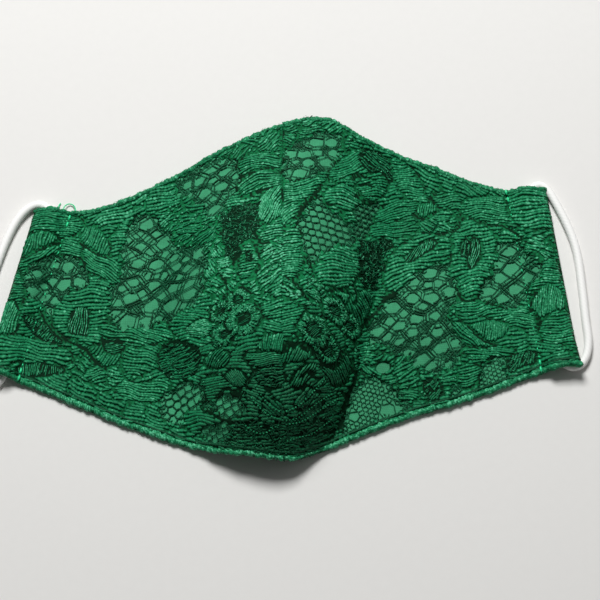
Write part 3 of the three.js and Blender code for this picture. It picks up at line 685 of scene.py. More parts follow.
def lobes(chart, found):
    """Splits the strips into small lobes, each with its own turn, and paints them."""
    rng = np.random.default_rng(seed=8)
    maps = {size: lobe_map(size, rng) for size in sorted({entry[0] for entry in LOBES.values()})}
    strip_of = np.full(chart.shape, OUTSIDE)
    for number, (_, _, _, line) in enumerate(STRIPS):
        paint(strip_of, smooth_loop(points_of(line)), number)
    for number, (kind, turn, tone, _) in enumerate(STRIPS):
        size, spread = LOBES[kind]
        middles, lobe = maps[size]
        for piece in np.unique(lobe[strip_of == number]):
            chart[(strip_of == number) & (lobe == piece)] = len(found)
            found.append(Motif(
                kind, turn=turn + rng.uniform(-spread, spread), arch=rng.uniform(-0.9, 1.4),
                tone=tone * rng.uniform(0.85, 1.15), loop=ellipse(*middles[piece], size, size)))


# Step along a net's edge, and the lengths of its waves with how far each strays, in mm
FRAY_STEP = 0.6
FRAY_WAVES = ((9.0, 0.6), (5.0, 0.45), (2.8, 0.35))


def frayed(loop, rng):
    """A closed line with an uneven edge."""
    line = ring_line(loop, FRAY_STEP)
    along = np.arange(len(line)) / len(line) * 2 * np.pi
    way = np.roll(line, -1, axis=0) - np.roll(line, 1, axis=0)
    out = unit(np.stack([way[:, 1], -way[:, 0]], axis=1))
    uneven = sum(size * np.sin(round(len(line) * FRAY_STEP / length) * along + rng.uniform(0, PHASE))
                 for length, size in FRAY_WAVES)
    return line + out * uneven[:, None]


def frayed_loops(lines, seed):
    """Closed outlines of nets, with uneven edges."""
    rng = np.random.default_rng(seed)
    return [frayed(smooth_loop(points_of(line)), rng) for line in lines]


NET_LOOPS = frayed_loops([line for line, _ in NETS], seed=15)
MESH_LOOPS = frayed_loops([line for _, _, line in MESHES], seed=16)
LONE_LOOPS = [ellipse(x, y, half_wide=r, half_high=0.85 * r) for x, y, r in cells_of(LONE_CELLS)]
TANGLES = [number for number, mesh in enumerate(MESHES, MESH_ID) if mesh[1] == "tangle"]
OPEN_MESHES = [number for number, mesh in enumerate(MESHES, MESH_ID) if mesh[1] != "tangle"]


def motifs():
    """All leaves, with the flowers' petals and hearts."""
    found = [Motif(kind, turn, arch * PIXEL, tone, smooth_loop(points_of(line)))
             for kind, turn, arch, tone, line in LEAVES]
    for x, y, radius, petals, heart in FLOWERS:
        turn = np.linspace(0, 2 * np.pi, 60, endpoint=False)
        edge = radius * PIXEL * (1 + 0.08 * np.cos(petals * turn))
        middle = points_of((x, y))[0]
        ring = middle + edge[:, None] * np.stack([np.cos(turn), np.sin(turn)], axis=1)
        found.append(Motif("f", turn=0, arch=0, tone=1.1, loop=ring))
        centre = ellipse(*middle, half_wide=1.1 * heart * PIXEL, half_high=heart * PIXEL)
        found.append(Motif("h", turn=20, arch=0, tone=0.4, loop=centre))
    return found


def draw_chart():
    """Raster of the motifs' numbers, and one of where two of them meet."""
    hem = np.linspace(0, len(SECTIONS) - 1, 200)
    low, high = (np.stack(plan_point(hem, 0 * hem + v), axis=1) for v in (0, 1))
    chart = np.full((len(CHART_Y), len(CHART_X)), OUTSIDE)
    mask = np.zeros_like(chart)
    paint(mask, np.concatenate([low, high[::-1]]), 1)
    charted = list(MOTIFS)
    lobes(chart, MOTIFS)
    for number, motif in enumerate(charted):
        if motif.kind == "f":
            middle = motif.loop.mean(axis=0)
            paint(chart, middle + (motif.loop - middle) * FLOWER_MARGIN, GAP_ID)
        paint(chart, motif.loop, number)
    for first, loops in ((MESH_ID, MESH_LOOPS), (NET_ID, NET_LOOPS), (LONE_ID, LONE_LOOPS)):
        for number, loop in enumerate(loops, first):
            paint(chart, loop, number)
    for width, line in GAPS:
        paint(chart, ribbon(smooth_line(points_of(line), spacing=1.0), width * PIXEL + GAP_MORE), GAP_ID)
    chart[mask == 0] = OUTSIDE
    x, y = np.meshgrid(CHART_X, CHART_Y)
    half = past_seam(x, y) > 0
    code = np.where((chart >= len(charted)) & (chart < NET_ID), NET_ID - 1, chart) * 2 + half
    meet = np.zeros(chart.shape, bool)
    for dx, dy in ((1, 0), (-1, 0), (0, 1), (0, -1), (1, 1), (1, -1), (-1, 1), (-1, -1)):
        meet |= code > np.roll(code, (dy, dx), axis=(0, 1))
    return chart, meet


def draw_shaded_borders():
    """Raster of the lines where two motifs meet, which come and go along the border: the ribs stop there and
    the ground is painted dark, as shade.
    """
    x, y = np.meshgrid(CHART_X, CHART_Y)
    comes = np.sin(x / 2.9 + 1.3 * np.sin(y / 7)) + np.sin(y / 2.3 + 1.7 * np.sin(x / 9)) > -0.45
    return MEET & comes


MOTIFS = motifs()
CHART, MEET = draw_chart()
SHADED_BORDERS = draw_shaded_borders()


def of_kinds(kinds):
    """Numbers of the motifs of some styles."""
    return [number for number, motif in enumerate(MOTIFS) if motif.kind in kinds]


# Where the ground is painted dark: as shade at the shaded borders and gaps, and as the lace's own dark parts
# in the tangles and the dark, veined and heart motifs
DARK_AND_SHADED_PLACES = SHADED_BORDERS | np.isin(CHART, TANGLES + of_kinds("dvh") + [GAP_ID])


def shrunk(places):
    """The places of a raster whose four neighbours belong to it too."""
    kept = places.copy()
    for shift, axis in ((1, 0), (-1, 0), (1, 1), (-1, 1)):
        kept &= np.roll(places, shift, axis)
    return kept


def draw_padding():
    """Raster of how far the motifs stand up from the ground, from nothing at their edges."""
    inside, steps = np.zeros(CHART.shape), 8
    in_motif = (CHART >= 0) & (CHART < NET_ID)
    free = ~MEET & in_motif
    for _ in range(steps):
        inside += free
        free = shrunk(free)
    pads = np.array([STYLES[motif.kind]["pad"] for motif in MOTIFS])
    full = np.where(in_motif, pads[np.clip(CHART, 0, len(pads) - 1)], 0)
    return full * (1 - (1 - inside / steps)**2)


PADDING = draw_padding()


# Places where the lace is painted lighter or darker, as light and shade: how much, x, y and half sizes. It is
# painted darkest under the chin's curve, as shade, and lightest on the dome, as light. The lining is painted
# lightest behind the small nets over the chin, and a little darker beside the crease, as light and shade too.
PAINTED_LIGHT_SPOTS = table("more x y half_x half_y", [
    (-0.55, -2, -52, 30, 21), (0.3, -2, 14, 36, 26), (0.17, -62, 34, 34, 20),
    (-0.16, 38, -34, 15, 24), (-0.05, -88, -8, 24, 30), (0.07, 96, 4, 22, 40),
])
LINING_PAINTED_LIGHT_SPOTS = table("more x y half_x half_y", [(0.65, -23, -50, 18, 13), (-0.12, 41, -36, 16, 18)])


def painted_light(x, y, spots=PAINTED_LIGHT_SPOTS):
    """Tone of the lace or the lining from place to place: painted light and shade."""
    light = np.ones_like(x)
    for spot in spots:
        far = ((x - spot["x"]) / spot["half_x"])**4 + ((y - spot["y"]) / spot["half_y"])**4
        light += spot["more"] * np.exp(-far)
    return light


def on_chart(raster, x, y):
    """What a raster says at plan points."""
    i = np.clip(np.rint((x - CHART_X[0]) / CELL).astype(int), 0, len(CHART_X) - 1)
    j = np.clip(np.rint((y - CHART_Y[0]) / CELL).astype(int), 0, len(CHART_Y) - 1)
    return raster[j, i]


# Meshes from arrays

# Least height of a thread over the floor
FLOOR_GAP = 0.02


def make_piece(name, points, faces, material, uv=None, tone=None):
    """A smooth mesh object at the origin, from points in mm."""
    mesh = bpy.data.meshes.new(name)
    points = np.array(points, float)
    points[:, 2] = np.maximum(points[:, 2], FLOOR_GAP)
    mesh.from_pydata((points * MM).tolist(), [], list(map(list, faces)))
    if uv is not None:
        layer = mesh.uv_layers.new(name="UVMap")
        layer.data.foreach_set("uv", np.asarray(uv, np.float32).ravel())
    if tone is not None:
        shade = mesh.attributes.new("tone", "FLOAT", "POINT")
        shade.data.foreach_set("value", np.asarray(tone, np.float32))
    mesh.shade_smooth()
    mesh.validate()
    mesh.materials.append(material)
    piece = bpy.data.objects.new(name, mesh)
    bpy.context.scene.collection.objects.link(piece)
    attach(piece, "root")
    return piece


def slab(outer, inner, keep=None):
    """Points, faces and UVs of a closed sheet between two grids, without the cells that aren't kept."""
    rows, cols = outer.shape[:2]
    keep = np.ones((rows - 1, cols - 1), bool) if keep is None else keep
    number = np.arange(rows * cols).reshape(rows, cols)
    under = number + rows * cols
    framed = np.pad(keep, 1)
    i, j = np.nonzero(keep)
    a, b, c, d = number[i, j], number[i + 1, j], number[i + 1, j + 1], number[i, j + 1]
    faces = [np.stack([a, b, c, d], 1), np.stack([a, d, c, b], 1) + rows * cols]
    walls = ((a, b, framed[i + 1, j]), (b, c, framed[i + 2, j + 1]),
             (c, d, framed[i + 1, j + 2]), (d, a, framed[i, j + 1]))
    for p, q, beside in walls:
        p, q = p[~beside], q[~beside]
        faces.append(np.stack([p, p + rows * cols, q + rows * cols, q], 1))
    faces = np.concatenate(faces)
    along = np.cumsum(np.linalg.norm(np.diff(outer, axis=0, prepend=outer[:1]), axis=2), axis=0)
    beside = np.cumsum(np.linalg.norm(np.diff(outer, axis=1, prepend=outer[:, :1]), axis=2), axis=1)
    place = np.stack([along, beside - beside[:, cols // 2][:, None]], axis=2).reshape(-1, 2) * MM
    points = np.concatenate([outer.reshape(-1, 3), inner.reshape(-1, 3)])
    uv = np.concatenate([place, place])[faces]
    used, faces = np.unique(faces, return_inverse=True)
    return points[used], faces.reshape(-1, 4), uv


# Tone of a thread at its sides, crest and keel, as painted light and shade: the fibres at the sides lie in
# their neighbours' shade, the crest is painted lighter and the keel darker
THREAD_ROUND_SHADING = np.array([0.95, 1.12, 0.95, 0.4])
# Length of a thread's beads, the range of its swelling, and that of its ends
BEAD_LENGTH, SWELL_RANGE, END_SWELL, END_RISE = 1.5, (0.5, 1.5), 0.45, 0.4
# How deep a thread's keel lies under its sides, and the fewest points that make a thread
KEEL, FEWEST = 0.15, 3
# Knots and fibres that lie in shade or catch the light: their tones and shares
KNOT_TONES, KNOT_SHARES = (0.55, 1.0, 1.5), (0.08, 0.87, 0.05)


class Threads:
    """Threads of a diamond section that lie on the skin along plan lines, gathered for one mesh."""

    def __init__(self):
        self.lines, self.facts = [], []

    def add(self, line, width, lift, rise, tone, bead=0.0):
        """Adds a thread, with its width, lift over the skin, rise over its sides, tone and beading."""
        if len(line) >= FEWEST:
            self.lines.append(np.asarray(line, float))
            self.facts.append((width, lift, rise, tone, bead))

    def build(self, name, material, seed):
        """One mesh of all the threads."""
        rng = np.random.default_rng(seed)
        counts = np.array([len(line) for line in self.lines])
        run = np.repeat(np.arange(len(counts)), counts)
        first = np.concatenate([[0], np.cumsum(counts)[:-1]])
        last = first + counts - 1
        xy = np.concatenate(self.lines)
        width, lift, rise, tone, bead = np.array(self.facts)[run].T
        pad = on_chart(PADDING, *xy.T)[:, None]
        index = np.arange(len(xy))
        before, after = np.maximum(index - 1, first[run]), np.minimum(index + 1, last[run])
        base, normal = skin(*xy.T)
        across = unit(np.cross(normal, unit(base[after] - base[before])))
        step = np.linalg.norm(base - base[before], axis=1)
        along = np.cumsum(step) - np.cumsum(step)[first[run]]
        phase = rng.uniform(0, PHASE, len(counts))[run]
        beads = bead * np.sin(along * 2 * np.pi / BEAD_LENGTH + phase)
        swell = 1 + beads + 0.2 * rng.standard_normal(len(xy))
        at_end = (index == first[run]) | (index == last[run])
        swell = np.where(at_end, END_SWELL, np.clip(swell, *SWELL_RANGE))
        wide = (width * swell / 2)[:, None]
        tall = (rise * np.where(at_end, END_RISE, 0.5 + 0.5 * swell))[:, None]
        middle = base + normal * (lift[:, None] + pad)
        ring = np.stack([middle + across * wide, middle + normal * tall,
                         middle - across * wide, middle - normal * (KEEL + pad)], axis=1)
        starts = np.flatnonzero(index < last[run])
        faces = [np.stack([4 * starts + k, 4 * starts + (k + 1) % 4,
                           4 * starts + 4 + (k + 1) % 4, 4 * starts + 4 + k], 1) for k in range(4)]
        faces.append(first[:, None] * 4 + np.array([3, 2, 1, 0]))
        faces.append(last[:, None] * 4 + np.array([0, 1, 2, 3]))
        faces = np.concatenate(faces)
        uv = np.stack([np.repeat(along, 4) * MM, np.tile(np.arange(4) / 4, len(xy))], axis=1)[faces]
        grain = np.exp(0.25 * rng.standard_normal((len(xy), 4)))
        # knots painted as shade, and some as glints, on the random grain
        grain *= rng.choice(KNOT_TONES, (len(xy), 1), p=KNOT_SHARES)
        tone = tone * (1 + 0.08 * rng.standard_normal(len(counts)))[run]
        # painted light and shade from place to place
        tone = tone * painted_light(*xy.T) * swell**0.35
        shade = tone[:, None] * grain * THREAD_ROUND_SHADING
        return make_piece(name, ring.reshape(-1, 3), faces, material, uv, shade.ravel())


class Halves:
    """Threads of the lace's two halves, each gathered for its own mesh."""

    def __init__(self):
        self.threads = {"left": Threads(), "right": Threads()}

    def lay(self, parts, **facts):
        """Adds plan lines to the halves that they lie on."""
        for part in parts:
            self.threads[half_of(part)].add(part, **facts)

    def build(self, name, seed):
        """Makes each half's mesh."""
        for side, threads in self.threads.items():
            piece = threads.build(name + side, material("yarn"), seed)


def half_of(line):
    """Name of the half that a plan line lies on."""
    return "right" if past_seam(*line[len(line) // 2]) > 0 else "left"


def runs(inside):
    """Starts and ends of the unbroken stretches of a row."""
    edges = np.flatnonzero(np.diff(np.concatenate([[0], inside.astype(int), [0]])))
    return zip(edges[::2], edges[1::2])


# Materials

def node(material, kind, links=None, **settings):
    """Adds a node with its settings; links gives each input a value or another node's output."""
    made = material.node_tree.nodes.new(kind)
    for name, value in settings.items():
        setattr(made, name, value)
    for socket, value in (links or {}).items():
        if isinstance(value, bpy.types.NodeSocket):
            material.node_tree.links.new(value, made.inputs[socket])
        else:
            made.inputs[socket].default_value = value
    return made


def new_material(name):
    """An empty node material."""
    material = bpy.data.materials.new(name)
    material.use_nodes = True
    material.node_tree.nodes.clear()
    return material


def finish_material(material, inputs):
    """Gives the material its shader, with these inputs."""
    shader = node(material, "ShaderNodeBsdfPrincipled", inputs)
    node(material, "ShaderNodeOutputMaterial", {"Surface": shader.outputs[0]})
    return material


def shaded(colour, factor=1.0):
    """A colour made lighter or darker, with its alpha."""
    return (*(min(c * factor, 1) for c in colour), 1.0)


def along_mesh(material):
    """Where a point lies along and across its piece, in metres or as a share."""
    return node(material, "ShaderNodeUVMap", uv_map="UVMap").outputs[0]


def in_space(material):
    """Where a point lies in space, in metres."""
    return node(material, "ShaderNodeTexCoord").outputs["Object"]


def tone_of(material):
    """The tone that a mesh gives its points."""
    return node(material, "ShaderNodeAttribute", attribute_name="tone").outputs["Fac"]


# Scale of a wave texture that has one band to a unit of length
ONE_BAND = 2 * math.pi / 20


def bands(material, place, scale, direction, distortion=0.0):
    """Bands of a wave texture, from 0 to 1."""
    inputs = {"Vector": place, "Scale": scale, "Distortion": distortion}
    return node(material, "ShaderNodeTexWave", inputs, bands_direction=direction).outputs["Fac"]


def noise(material, place, scale, detail, roughness=0.5):
    """Cloudy spots, from 0 to 1, so many to a metre."""
    inputs = {"Vector": place, "Scale": scale, "Detail": detail, "Roughness": roughness}
    return node(material, "ShaderNodeTexNoise", inputs).outputs["Fac"]


def calculation(material, operation, *values):
    """The result of a calculation."""
    return node(material, "ShaderNodeMath", dict(enumerate(values)), operation=operation).outputs[0]


def mixed(material, share, low, high):
    """A colour between two."""
    return node(material, "ShaderNodeMix", {0: share, 6: low, 7: high}, data_type="RGBA").outputs[2]


def bumped(material, height, strength, depth):
    """A normal that follows a small relief, whose depth is in metres."""
    inputs = {"Height": height, "Strength": strength, "Distance": depth}
    return node(material, "ShaderNodeBump", inputs).outputs[0]


def lining_cloth(sizes):
    """Plain-woven polyester and cotton: an even matt green, slightly mottled, with a fine thread grid."""
    m = new_material("plain_woven_lining")
    place = along_mesh(m)
    # threads are 0.4 mm apart in such cloth; drawn 0.7 mm apart so that they show
    warp, weft = (bands(m, place, ONE_BAND / 0.0007, direction, 0.6) for direction in "XY")
    grid = calculation(m, "MULTIPLY", warp, weft)
    mottle = noise(m, place, 260.0, 5.0, 0.65)
    blend = calculation(m, "MULTIPLY_ADD", grid, 0.4, mottle)
    tint = node(m, "ShaderNodeMapRange", {"Value": blend, "From Min": 0.1, "From Max": 1.1})
    colour = mixed(m, tint.outputs[0], shaded(sizes.lining_colour, 0.6), shaded(sizes.lining_colour, 1.3))
    # the tone paints light and shade on the lining
    lit = node(m, "ShaderNodeVectorMath", {0: colour, "Scale": tone_of(m)}, operation="SCALE")
    return finish_material(m, {
        "Base Color": lit.outputs[0], "Roughness": 0.75, "Normal": bumped(m, grid, 0.25, 0.0002),
        "Specular IOR Level": 0.2, "Sheen Weight": 0.05, "Sheen Roughness": 0.5})


# Places on the yarn's colour ramp, and how many times lighter than the yarn's own colour each is
YARN_RAMP = ((0.04, 0.28), (0.3, 0.69), (0.6, 1.07), (1.0, None))


def lace_yarn(sizes):
    """Twisted polyester lace yarn: deep green with a soft sheen, lighter and darker from thread to thread."""
    m = new_material("twisted_lace_yarn")
    # plies turn about once in 0.6 mm; drawn 1 mm apart so that they show
    plies = bands(m, along_mesh(m), ONE_BAND / 0.001, "X", 1.5)
    fleck = noise(m, in_space(m), 1300.0, 3.0, 0.7)
    # the tone brings in the painted light and shade, and the ramp's top paints glints
    light = calculation(m, "MULTIPLY", fleck, tone_of(m))
    colour = node(m, "ShaderNodeValToRGB", {"Fac": light})
    ramp = colour.color_ramp.elements
    for place, _ in YARN_RAMP[1:-1]:
        ramp.new(place)
    for step, (place, factor) in zip(ramp, YARN_RAMP):
        step.position = place
        step.color = shaded(sizes.lace_colour, factor) if factor else shaded(sizes.glint_colour)
    return finish_material(m, {
        "Base Color": colour.outputs[0], "Roughness": 0.5, "Normal": bumped(m, plies, 0.3, 0.0002),
        "Specular IOR Level": 0.15, "Sheen Weight": 0.04, "Sheen Roughness": 0.4,
        "Sheen Tint": shaded(linear("#8FD8B0"))})


def lace_ground(sizes):
    """Fine knotted ground of the lace: dark green tulle that looks closed, with a tiny mesh."""
    m = new_material("fine_lace_ground")
    # the tulle's holes are 1.1 mm apart
    holes = node(m, "ShaderNodeTexVoronoi", {"Vector": in_space(m), "Scale": 1 / 0.0011}).outputs["Distance"]
    # the tone brings in the painted light and shade
    light = calculation(m, "SUBTRACT", tone_of(m), holes)
    colour = mixed(m, light, shaded(sizes.ground_colour, 0.16), shaded(sizes.ground_colour, 1.6))
    return finish_material(m, {
        "Base Color": colour, "Roughness": 0.8, "Normal": bumped(m, holes, 0.5, 0.0003),
        "Specular IOR Level": 0.1})


def knitted_elastic(sizes):
    """Knitted covered elastic: soft matt white, with slanting stitches so fine that it looks smooth."""
    m = new_material("knitted_white_elastic")
    # stitches 0.8 mm apart along the cord, ten round it
    lean = node(m, "ShaderNodeMapping", {"Vector": along_mesh(m), "Scale": (1 / 0.0008, 10.0, 1.0)})
    knit = bands(m, lean.outputs[0], ONE_BAND, "DIAGONAL", 0.4)
    colour = mixed(m, knit, shaded(sizes.elastic_colour, 0.97), shaded(sizes.elastic_colour))
    return finish_material(m, {
        "Base Color": colour, "Roughness": 0.7, "Normal": bumped(m, knit, 0.12, 0.0002),
        "Sheen Weight": 0.2, "Sheen Roughness": 0.4})


def sewing_thread(sizes):
    """Mercerised sewing thread: a brighter green than the lace, glossy along its turns."""
    m = new_material("bright_sewing_thread")
    # the thread's turns are 0.5 mm apart
    turns = bands(m, along_mesh(m), ONE_BAND / 0.0005, "X")
    colour = mixed(m, turns, shaded(sizes.thread_colour, 0.7), shaded(sizes.thread_colour))
    return finish_material(m, {"Base Color": colour, "Roughness": 0.35})


def floor_paper(sizes):
    """Matt backdrop paper: pale, with a barely seen fibre."""
    m = new_material("matt_backdrop_paper")
    # fibres some 3 mm long, 300 to a metre
    fibre = noise(m, in_space(m), 300.0, 3.0)
    colour = mixed(m, fibre, shaded(sizes.floor_colour, 0.97), shaded(sizes.floor_colour))
    return finish_material(m, {"Base Color": colour, "Roughness": 0.9})


MATERIALS = {
    "lining": lining_cloth, "yarn": lace_yarn, "ground": lace_ground,
    "elastic": knitted_elastic, "thread": sewing_thread, "floor": floor_paper,
}
made_materials = {}


def material(name):
    """A material of the mask, made once."""
    if name not in made_materials:
        made_materials[name] = MATERIALS[name](bpy.context.scene.lace_mask)
    return made_materials[name]


# Pieces

class LaceMaskSizes(bpy.types.PropertyGroup):
    """Sizes and colours of the mask that a user would change."""
    elastic_diameter: bpy.props.FloatProperty(
        name="Elastic", description="Diameter of the ear loops' elastic", default=0.0033,
        min=0.002, max=0.005, unit="LENGTH")
    hem_radius: bpy.props.FloatProperty(
        name="Hem roll", description="Radius of the rolled hems", default=0.0012, min=0.0005, max=0.002,
        unit="LENGTH")
    stitch_length: bpy.props.FloatProperty(
        name="Stitch", description="Length of a stitch on the casings", default=0.0022, min=0.001, max=0.005,
        unit="LENGTH")
    stitch_thickness: bpy.props.FloatProperty(
        name="Thread", description="Thickness of the sewing thread", default=0.0005, min=0.0003, max=0.001,
        unit="LENGTH")
    lace_colour: bpy.props.FloatVectorProperty(
        name="Lace", description="Colour of the lace yarn", default=linear("#1E8557"), subtype="COLOR",
        min=0, max=1)
    glint_colour: bpy.props.FloatVectorProperty(
        name="Lace glints", description="Colour of the fibres that catch the light",
        default=linear("#5CBC90"), subtype="COLOR", min=0, max=1)
    ground_colour: bpy.props.FloatVectorProperty(
        name="Lace ground", description="Colour of the fine ground under the ribs", default=linear("#0C6138"),
        subtype="COLOR", min=0, max=1)
    lining_colour: bpy.props.FloatVectorProperty(
        name="Lining", description="Colour of the plain lining", default=linear("#3A966A"), subtype="COLOR",
        min=0, max=1)
    elastic_colour: bpy.props.FloatVectorProperty(
        name="Elastic colour", description="Colour of the ear loops", default=linear("#F6F6F3"),
        subtype="COLOR", min=0, max=1)
    thread_colour: bpy.props.FloatVectorProperty(
        name="Thread colour", description="Colour of the sewing thread", default=linear("#2BE59A"),
        subtype="COLOR", min=0, max=1)
    floor_colour: bpy.props.FloatVectorProperty(
        name="Floor", description="Colour of the floor", default=linear("#E4E3E0"), subtype="COLOR",
        min=0, max=1)


# The place that the lamps point at, and their names, places and sizes, in metres, and power in watts
LAMP_AIM = (0, 0, 0.01)
LAMPS = (("key_light", (-0.12, 0.66, 1.02), 0.45, 17.0), ("fill_light", (0.8, 0.3, 0.9), 0.9, 0.8))


class LACEMASK_OT_stage(bpy.types.Operator):
    """Lays the floor, hangs the lights and sets the camera"""
    bl_idname = "lacemask.stage"
    bl_label = "Stage"

    def execute(self, context):
        bpy.ops.object.select_all(action="DESELECT")
        bpy.ops.mesh.primitive_plane_add(size=3.0)
        floor = context.object
        floor.name = "floor"
        floor.data.materials.append(material("floor"))
        for name, place, size, power in LAMPS:
            bpy.ops.object.light_add(type="AREA", location=place)
            lamp = context.object
            lamp.name = name
            lamp.data.size = size
            lamp.data.energy = power
            lamp.rotation_euler = (Vector(LAMP_AIM) - lamp.location).to_track_quat("-Z", "Y").to_euler()
        world = bpy.data.worlds.new("soft_room")
        world.use_nodes = True
        world.node_tree.nodes["Background"].inputs["Color"].default_value = (1, 1, 1, 1)
        world.node_tree.nodes["Background"].inputs["Strength"].default_value = 0.08
        context.scene.world = world
        context.scene.view_settings.view_transform = "Standard"
        self.set_camera(context)
        return {"FINISHED"}

    def set_camera(self, context):
        """Puts the camera where the photograph was taken from."""
        back, right, up = (Vector(axis) for axis in camera_axes())
        aside, below = ((PHOTO_SIDE / 2 - pixel) / FOCUS for pixel in AIM_PIXEL)
        view = (right * aside - up * below - back).normalized()
        right = view.cross(up).normalized()
        up = right.cross(view)
        lens = bpy.data.cameras.new("camera")
        lens.lens = lens.sensor_width * FOCUS / PHOTO_SIDE
        camera = bpy.data.objects.new("camera", lens)
        camera.matrix_world = Matrix.LocRotScale(
            (Vector(CAMERA_AIM) + back * CAMERA_DISTANCE) * MM,
            Matrix((right, up, -view)).transposed(), None)
        context.scene.collection.objects.link(camera)
        context.scene.camera = camera


def tube(path, radius):
    """Points, faces and UVs of a closed tube along a path, with its radius given at each step and side."""
    count, sides = radius.shape
    tangent = unit(np.gradient(path, axis=0))
    side = unit(np.cross([0.0, 0.0, 1.0], tangent))
    over = np.cross(tangent, side)
    angle = np.linspace(0, 2 * np.pi, sides, endpoint=False)
    ring = path[:, None] + radius[..., None] * (
        np.cos(angle)[None, :, None] * side[:, None] + np.sin(angle)[None, :, None] * over[:, None])
    number = np.arange(count * sides).reshape(count, sides)
    a, b = number[:-1], np.roll(number, -1, axis=1)[:-1]
    walls = np.stack([a, b, b + sides, a + sides], axis=-1).reshape(-1, 4)
    ends = count * sides
    first = np.stack([np.full(sides, ends), np.roll(number[0], -1), number[0]], axis=1)
    last = np.stack([np.full(sides, ends + 1), number[-1], np.roll(number[-1], -1)], axis=1)
    faces = walls.tolist() + first.tolist() + last.tolist()
    run = run_along(path) * MM
    low = np.stack(np.meshgrid(run, np.arange(sides) / sides, indexing="ij"), axis=-1)
    high = low + (0, 1 / sides)
    wall_uv = np.stack([low[:-1], high[:-1], high[1:], low[1:]], axis=2)
    end_uv = np.zeros((2 * sides, 3, 2))
    end_uv[sides:, :, 0] = run[-1]
    uv = np.concatenate([wall_uv.reshape(-1, 2), end_uv.reshape(-1, 2)])
    return np.concatenate([ring.reshape(-1, 3), path[:1], path[-1:]]), faces, uv


# Lengths of the ear loops in metres, the sides of their tubes, and the point where a cord leaves its casing
CORD_LENGTHS = {"left": 0.172, "right": 0.165}
CORD_SIDES, CORD_EXIT = 16, 3


class LACEMASK_OT_ear_loops(bpy.types.Operator):
    """Runs each elastic loop through its casing and out on the floor"""
    bl_idname = "lacemask.ear_loops"
    bl_label = "Ear loops"

    def execute(self, context):
        diameter = context.scene.lace_mask.elastic_diameter
        for side, length in CORD_LENGTHS.items():
            route = ROUTES[side]
            path = smooth_line(route, spacing=1.2)
            points, faces, uv = tube(path, np.full((len(path), CORD_SIDES), diameter / MM / 2))
            loop = make_piece("elastic_" + side, points, faces, material("elastic"), uv)
            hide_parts("ear_loop_" + side)
        return {"FINISHED"}


# How the cloth goes round a casing's fold: share of the casing's width from the fold, and heights of its two
# faces over the floor. The shares are of a part of the way from the fold to a row of the cloth's grid.
RETURN = table("across outer inner", [
    (0.0, 0.75, 1.1), (0.05, 0.2, 1.05), (0.2, 0.1, 0.95), (0.5, 0.1, 0.95), (0.8, 0.1, 0.95),
])
RETURN_ROW, RETURN_PART = -9, 0.8
# Gap between the halves at the centre seam, and distances from it to the next section, in mm
SEAM_SLIT = 0.05
BESIDE_SEAM = {"left": 30, "right": 14}


def half_grid(side, across, rows):
    """Plan points of one half from the centre seam to the fold, as a grid of stations and rows."""
    _, fold, stitch, outward = next(entry for entry in SIDES if entry[0] == side)
    seam = SEAM_ROW + outward * SEAM_SLIT / BESIDE_SEAM[side]
    body = np.linspace(seam, stitch, across, endpoint=False)
    casing = np.linspace(stitch, fold, max(10, across // 6))
    stations = np.concatenate([body, casing])
    s, v = np.meshgrid(stations, np.linspace(0, 1, rows), indexing="ij")
    if outward > 0:
        s, v = s[:, ::-1], v[:, ::-1]
    return plan_point(s, v)


# Depth of the lining's cloth, and least height of its inside over the floor
LINING_DEPTH, LINING_FLOOR = 0.9, 0.05


class LACEMASK_OT_lining(bpy.types.Operator):
    """Sews the two lining halves, with their edges folded back into casings"""
    bl_idname = "lacemask.lining"
    bl_label = "Lining"

    def execute(self, context):
        for side, *_ in SIDES:
            x, y = half_grid(side, across=72, rows=72)
            outer, normal = skin(x, y)
            inner = outer - LINING_DEPTH * normal
            inner[..., 2] = np.maximum(inner[..., 2], LINING_FLOOR)
            turned = {"outer": [], "inner": []}
            for row in RETURN:
                px, py = (c[-1] + (c[RETURN_ROW] - c[-1]) * row["across"] * RETURN_PART for c in (x, y))
                for name, rows in turned.items():
                    rows.append(np.stack([px, py, np.full_like(px, row[name])], axis=-1))
            outer = np.concatenate([outer, turned["outer"]])
            inner = np.concatenate([inner, turned["inner"]])
            keep = np.ones((len(outer) - 1, y.shape[1] - 1), bool)
            if side == "right":
                stop = round(RETURN_STOP * y.shape[1])
                keep[len(x) - 1:, -stop:] = False
            points, faces, uv = slab(outer, inner, keep)
            # painted light behind the chin's small nets and painted shade beside the crease
            tone = painted_light(*points[:, :2].T, LINING_PAINTED_LIGHT_SPOTS)
            piece = make_piece("lining_cloth_" + side, points, faces, material("lining"), uv, tone)
            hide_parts("lining_" + side)
        return {"FINISHED"}


WINDOWS = NET_LOOPS + [MESH_LOOPS[number - MESH_ID] for number in OPEN_MESHES] + LONE_LOOPS


def snapped(x, y, loop):
    """Plan points of a grid, those next to a closed line moved on to it."""
    x, y = x.copy(), y.copy()
    line = ring_line(loop, spacing=0.25)
    reach = 0.52
    lo, hi = line.min(axis=0) - 1, line.max(axis=0) + 1
    near = np.nonzero((x > lo[0]) & (x < hi[0]) & (y > lo[1]) & (y < hi[1]))
    if len(near[0]):
        far = np.hypot(x[near][:, None] - line[:, 0], y[near][:, None] - line[:, 1])
        best = far.argmin(axis=1)
        close = far[np.arange(len(best)), best] < reach
        rows, cols = near[0][close], near[1][close]
        x[rows, cols], y[rows, cols] = line[best[close]].T
    return x, y


def cell_middles(grid):
    """Middles of a grid's cells."""
    return (grid[:-1, :-1] + grid[1:, 1:] + grid[1:, :-1] + grid[:-1, 1:]) / 4


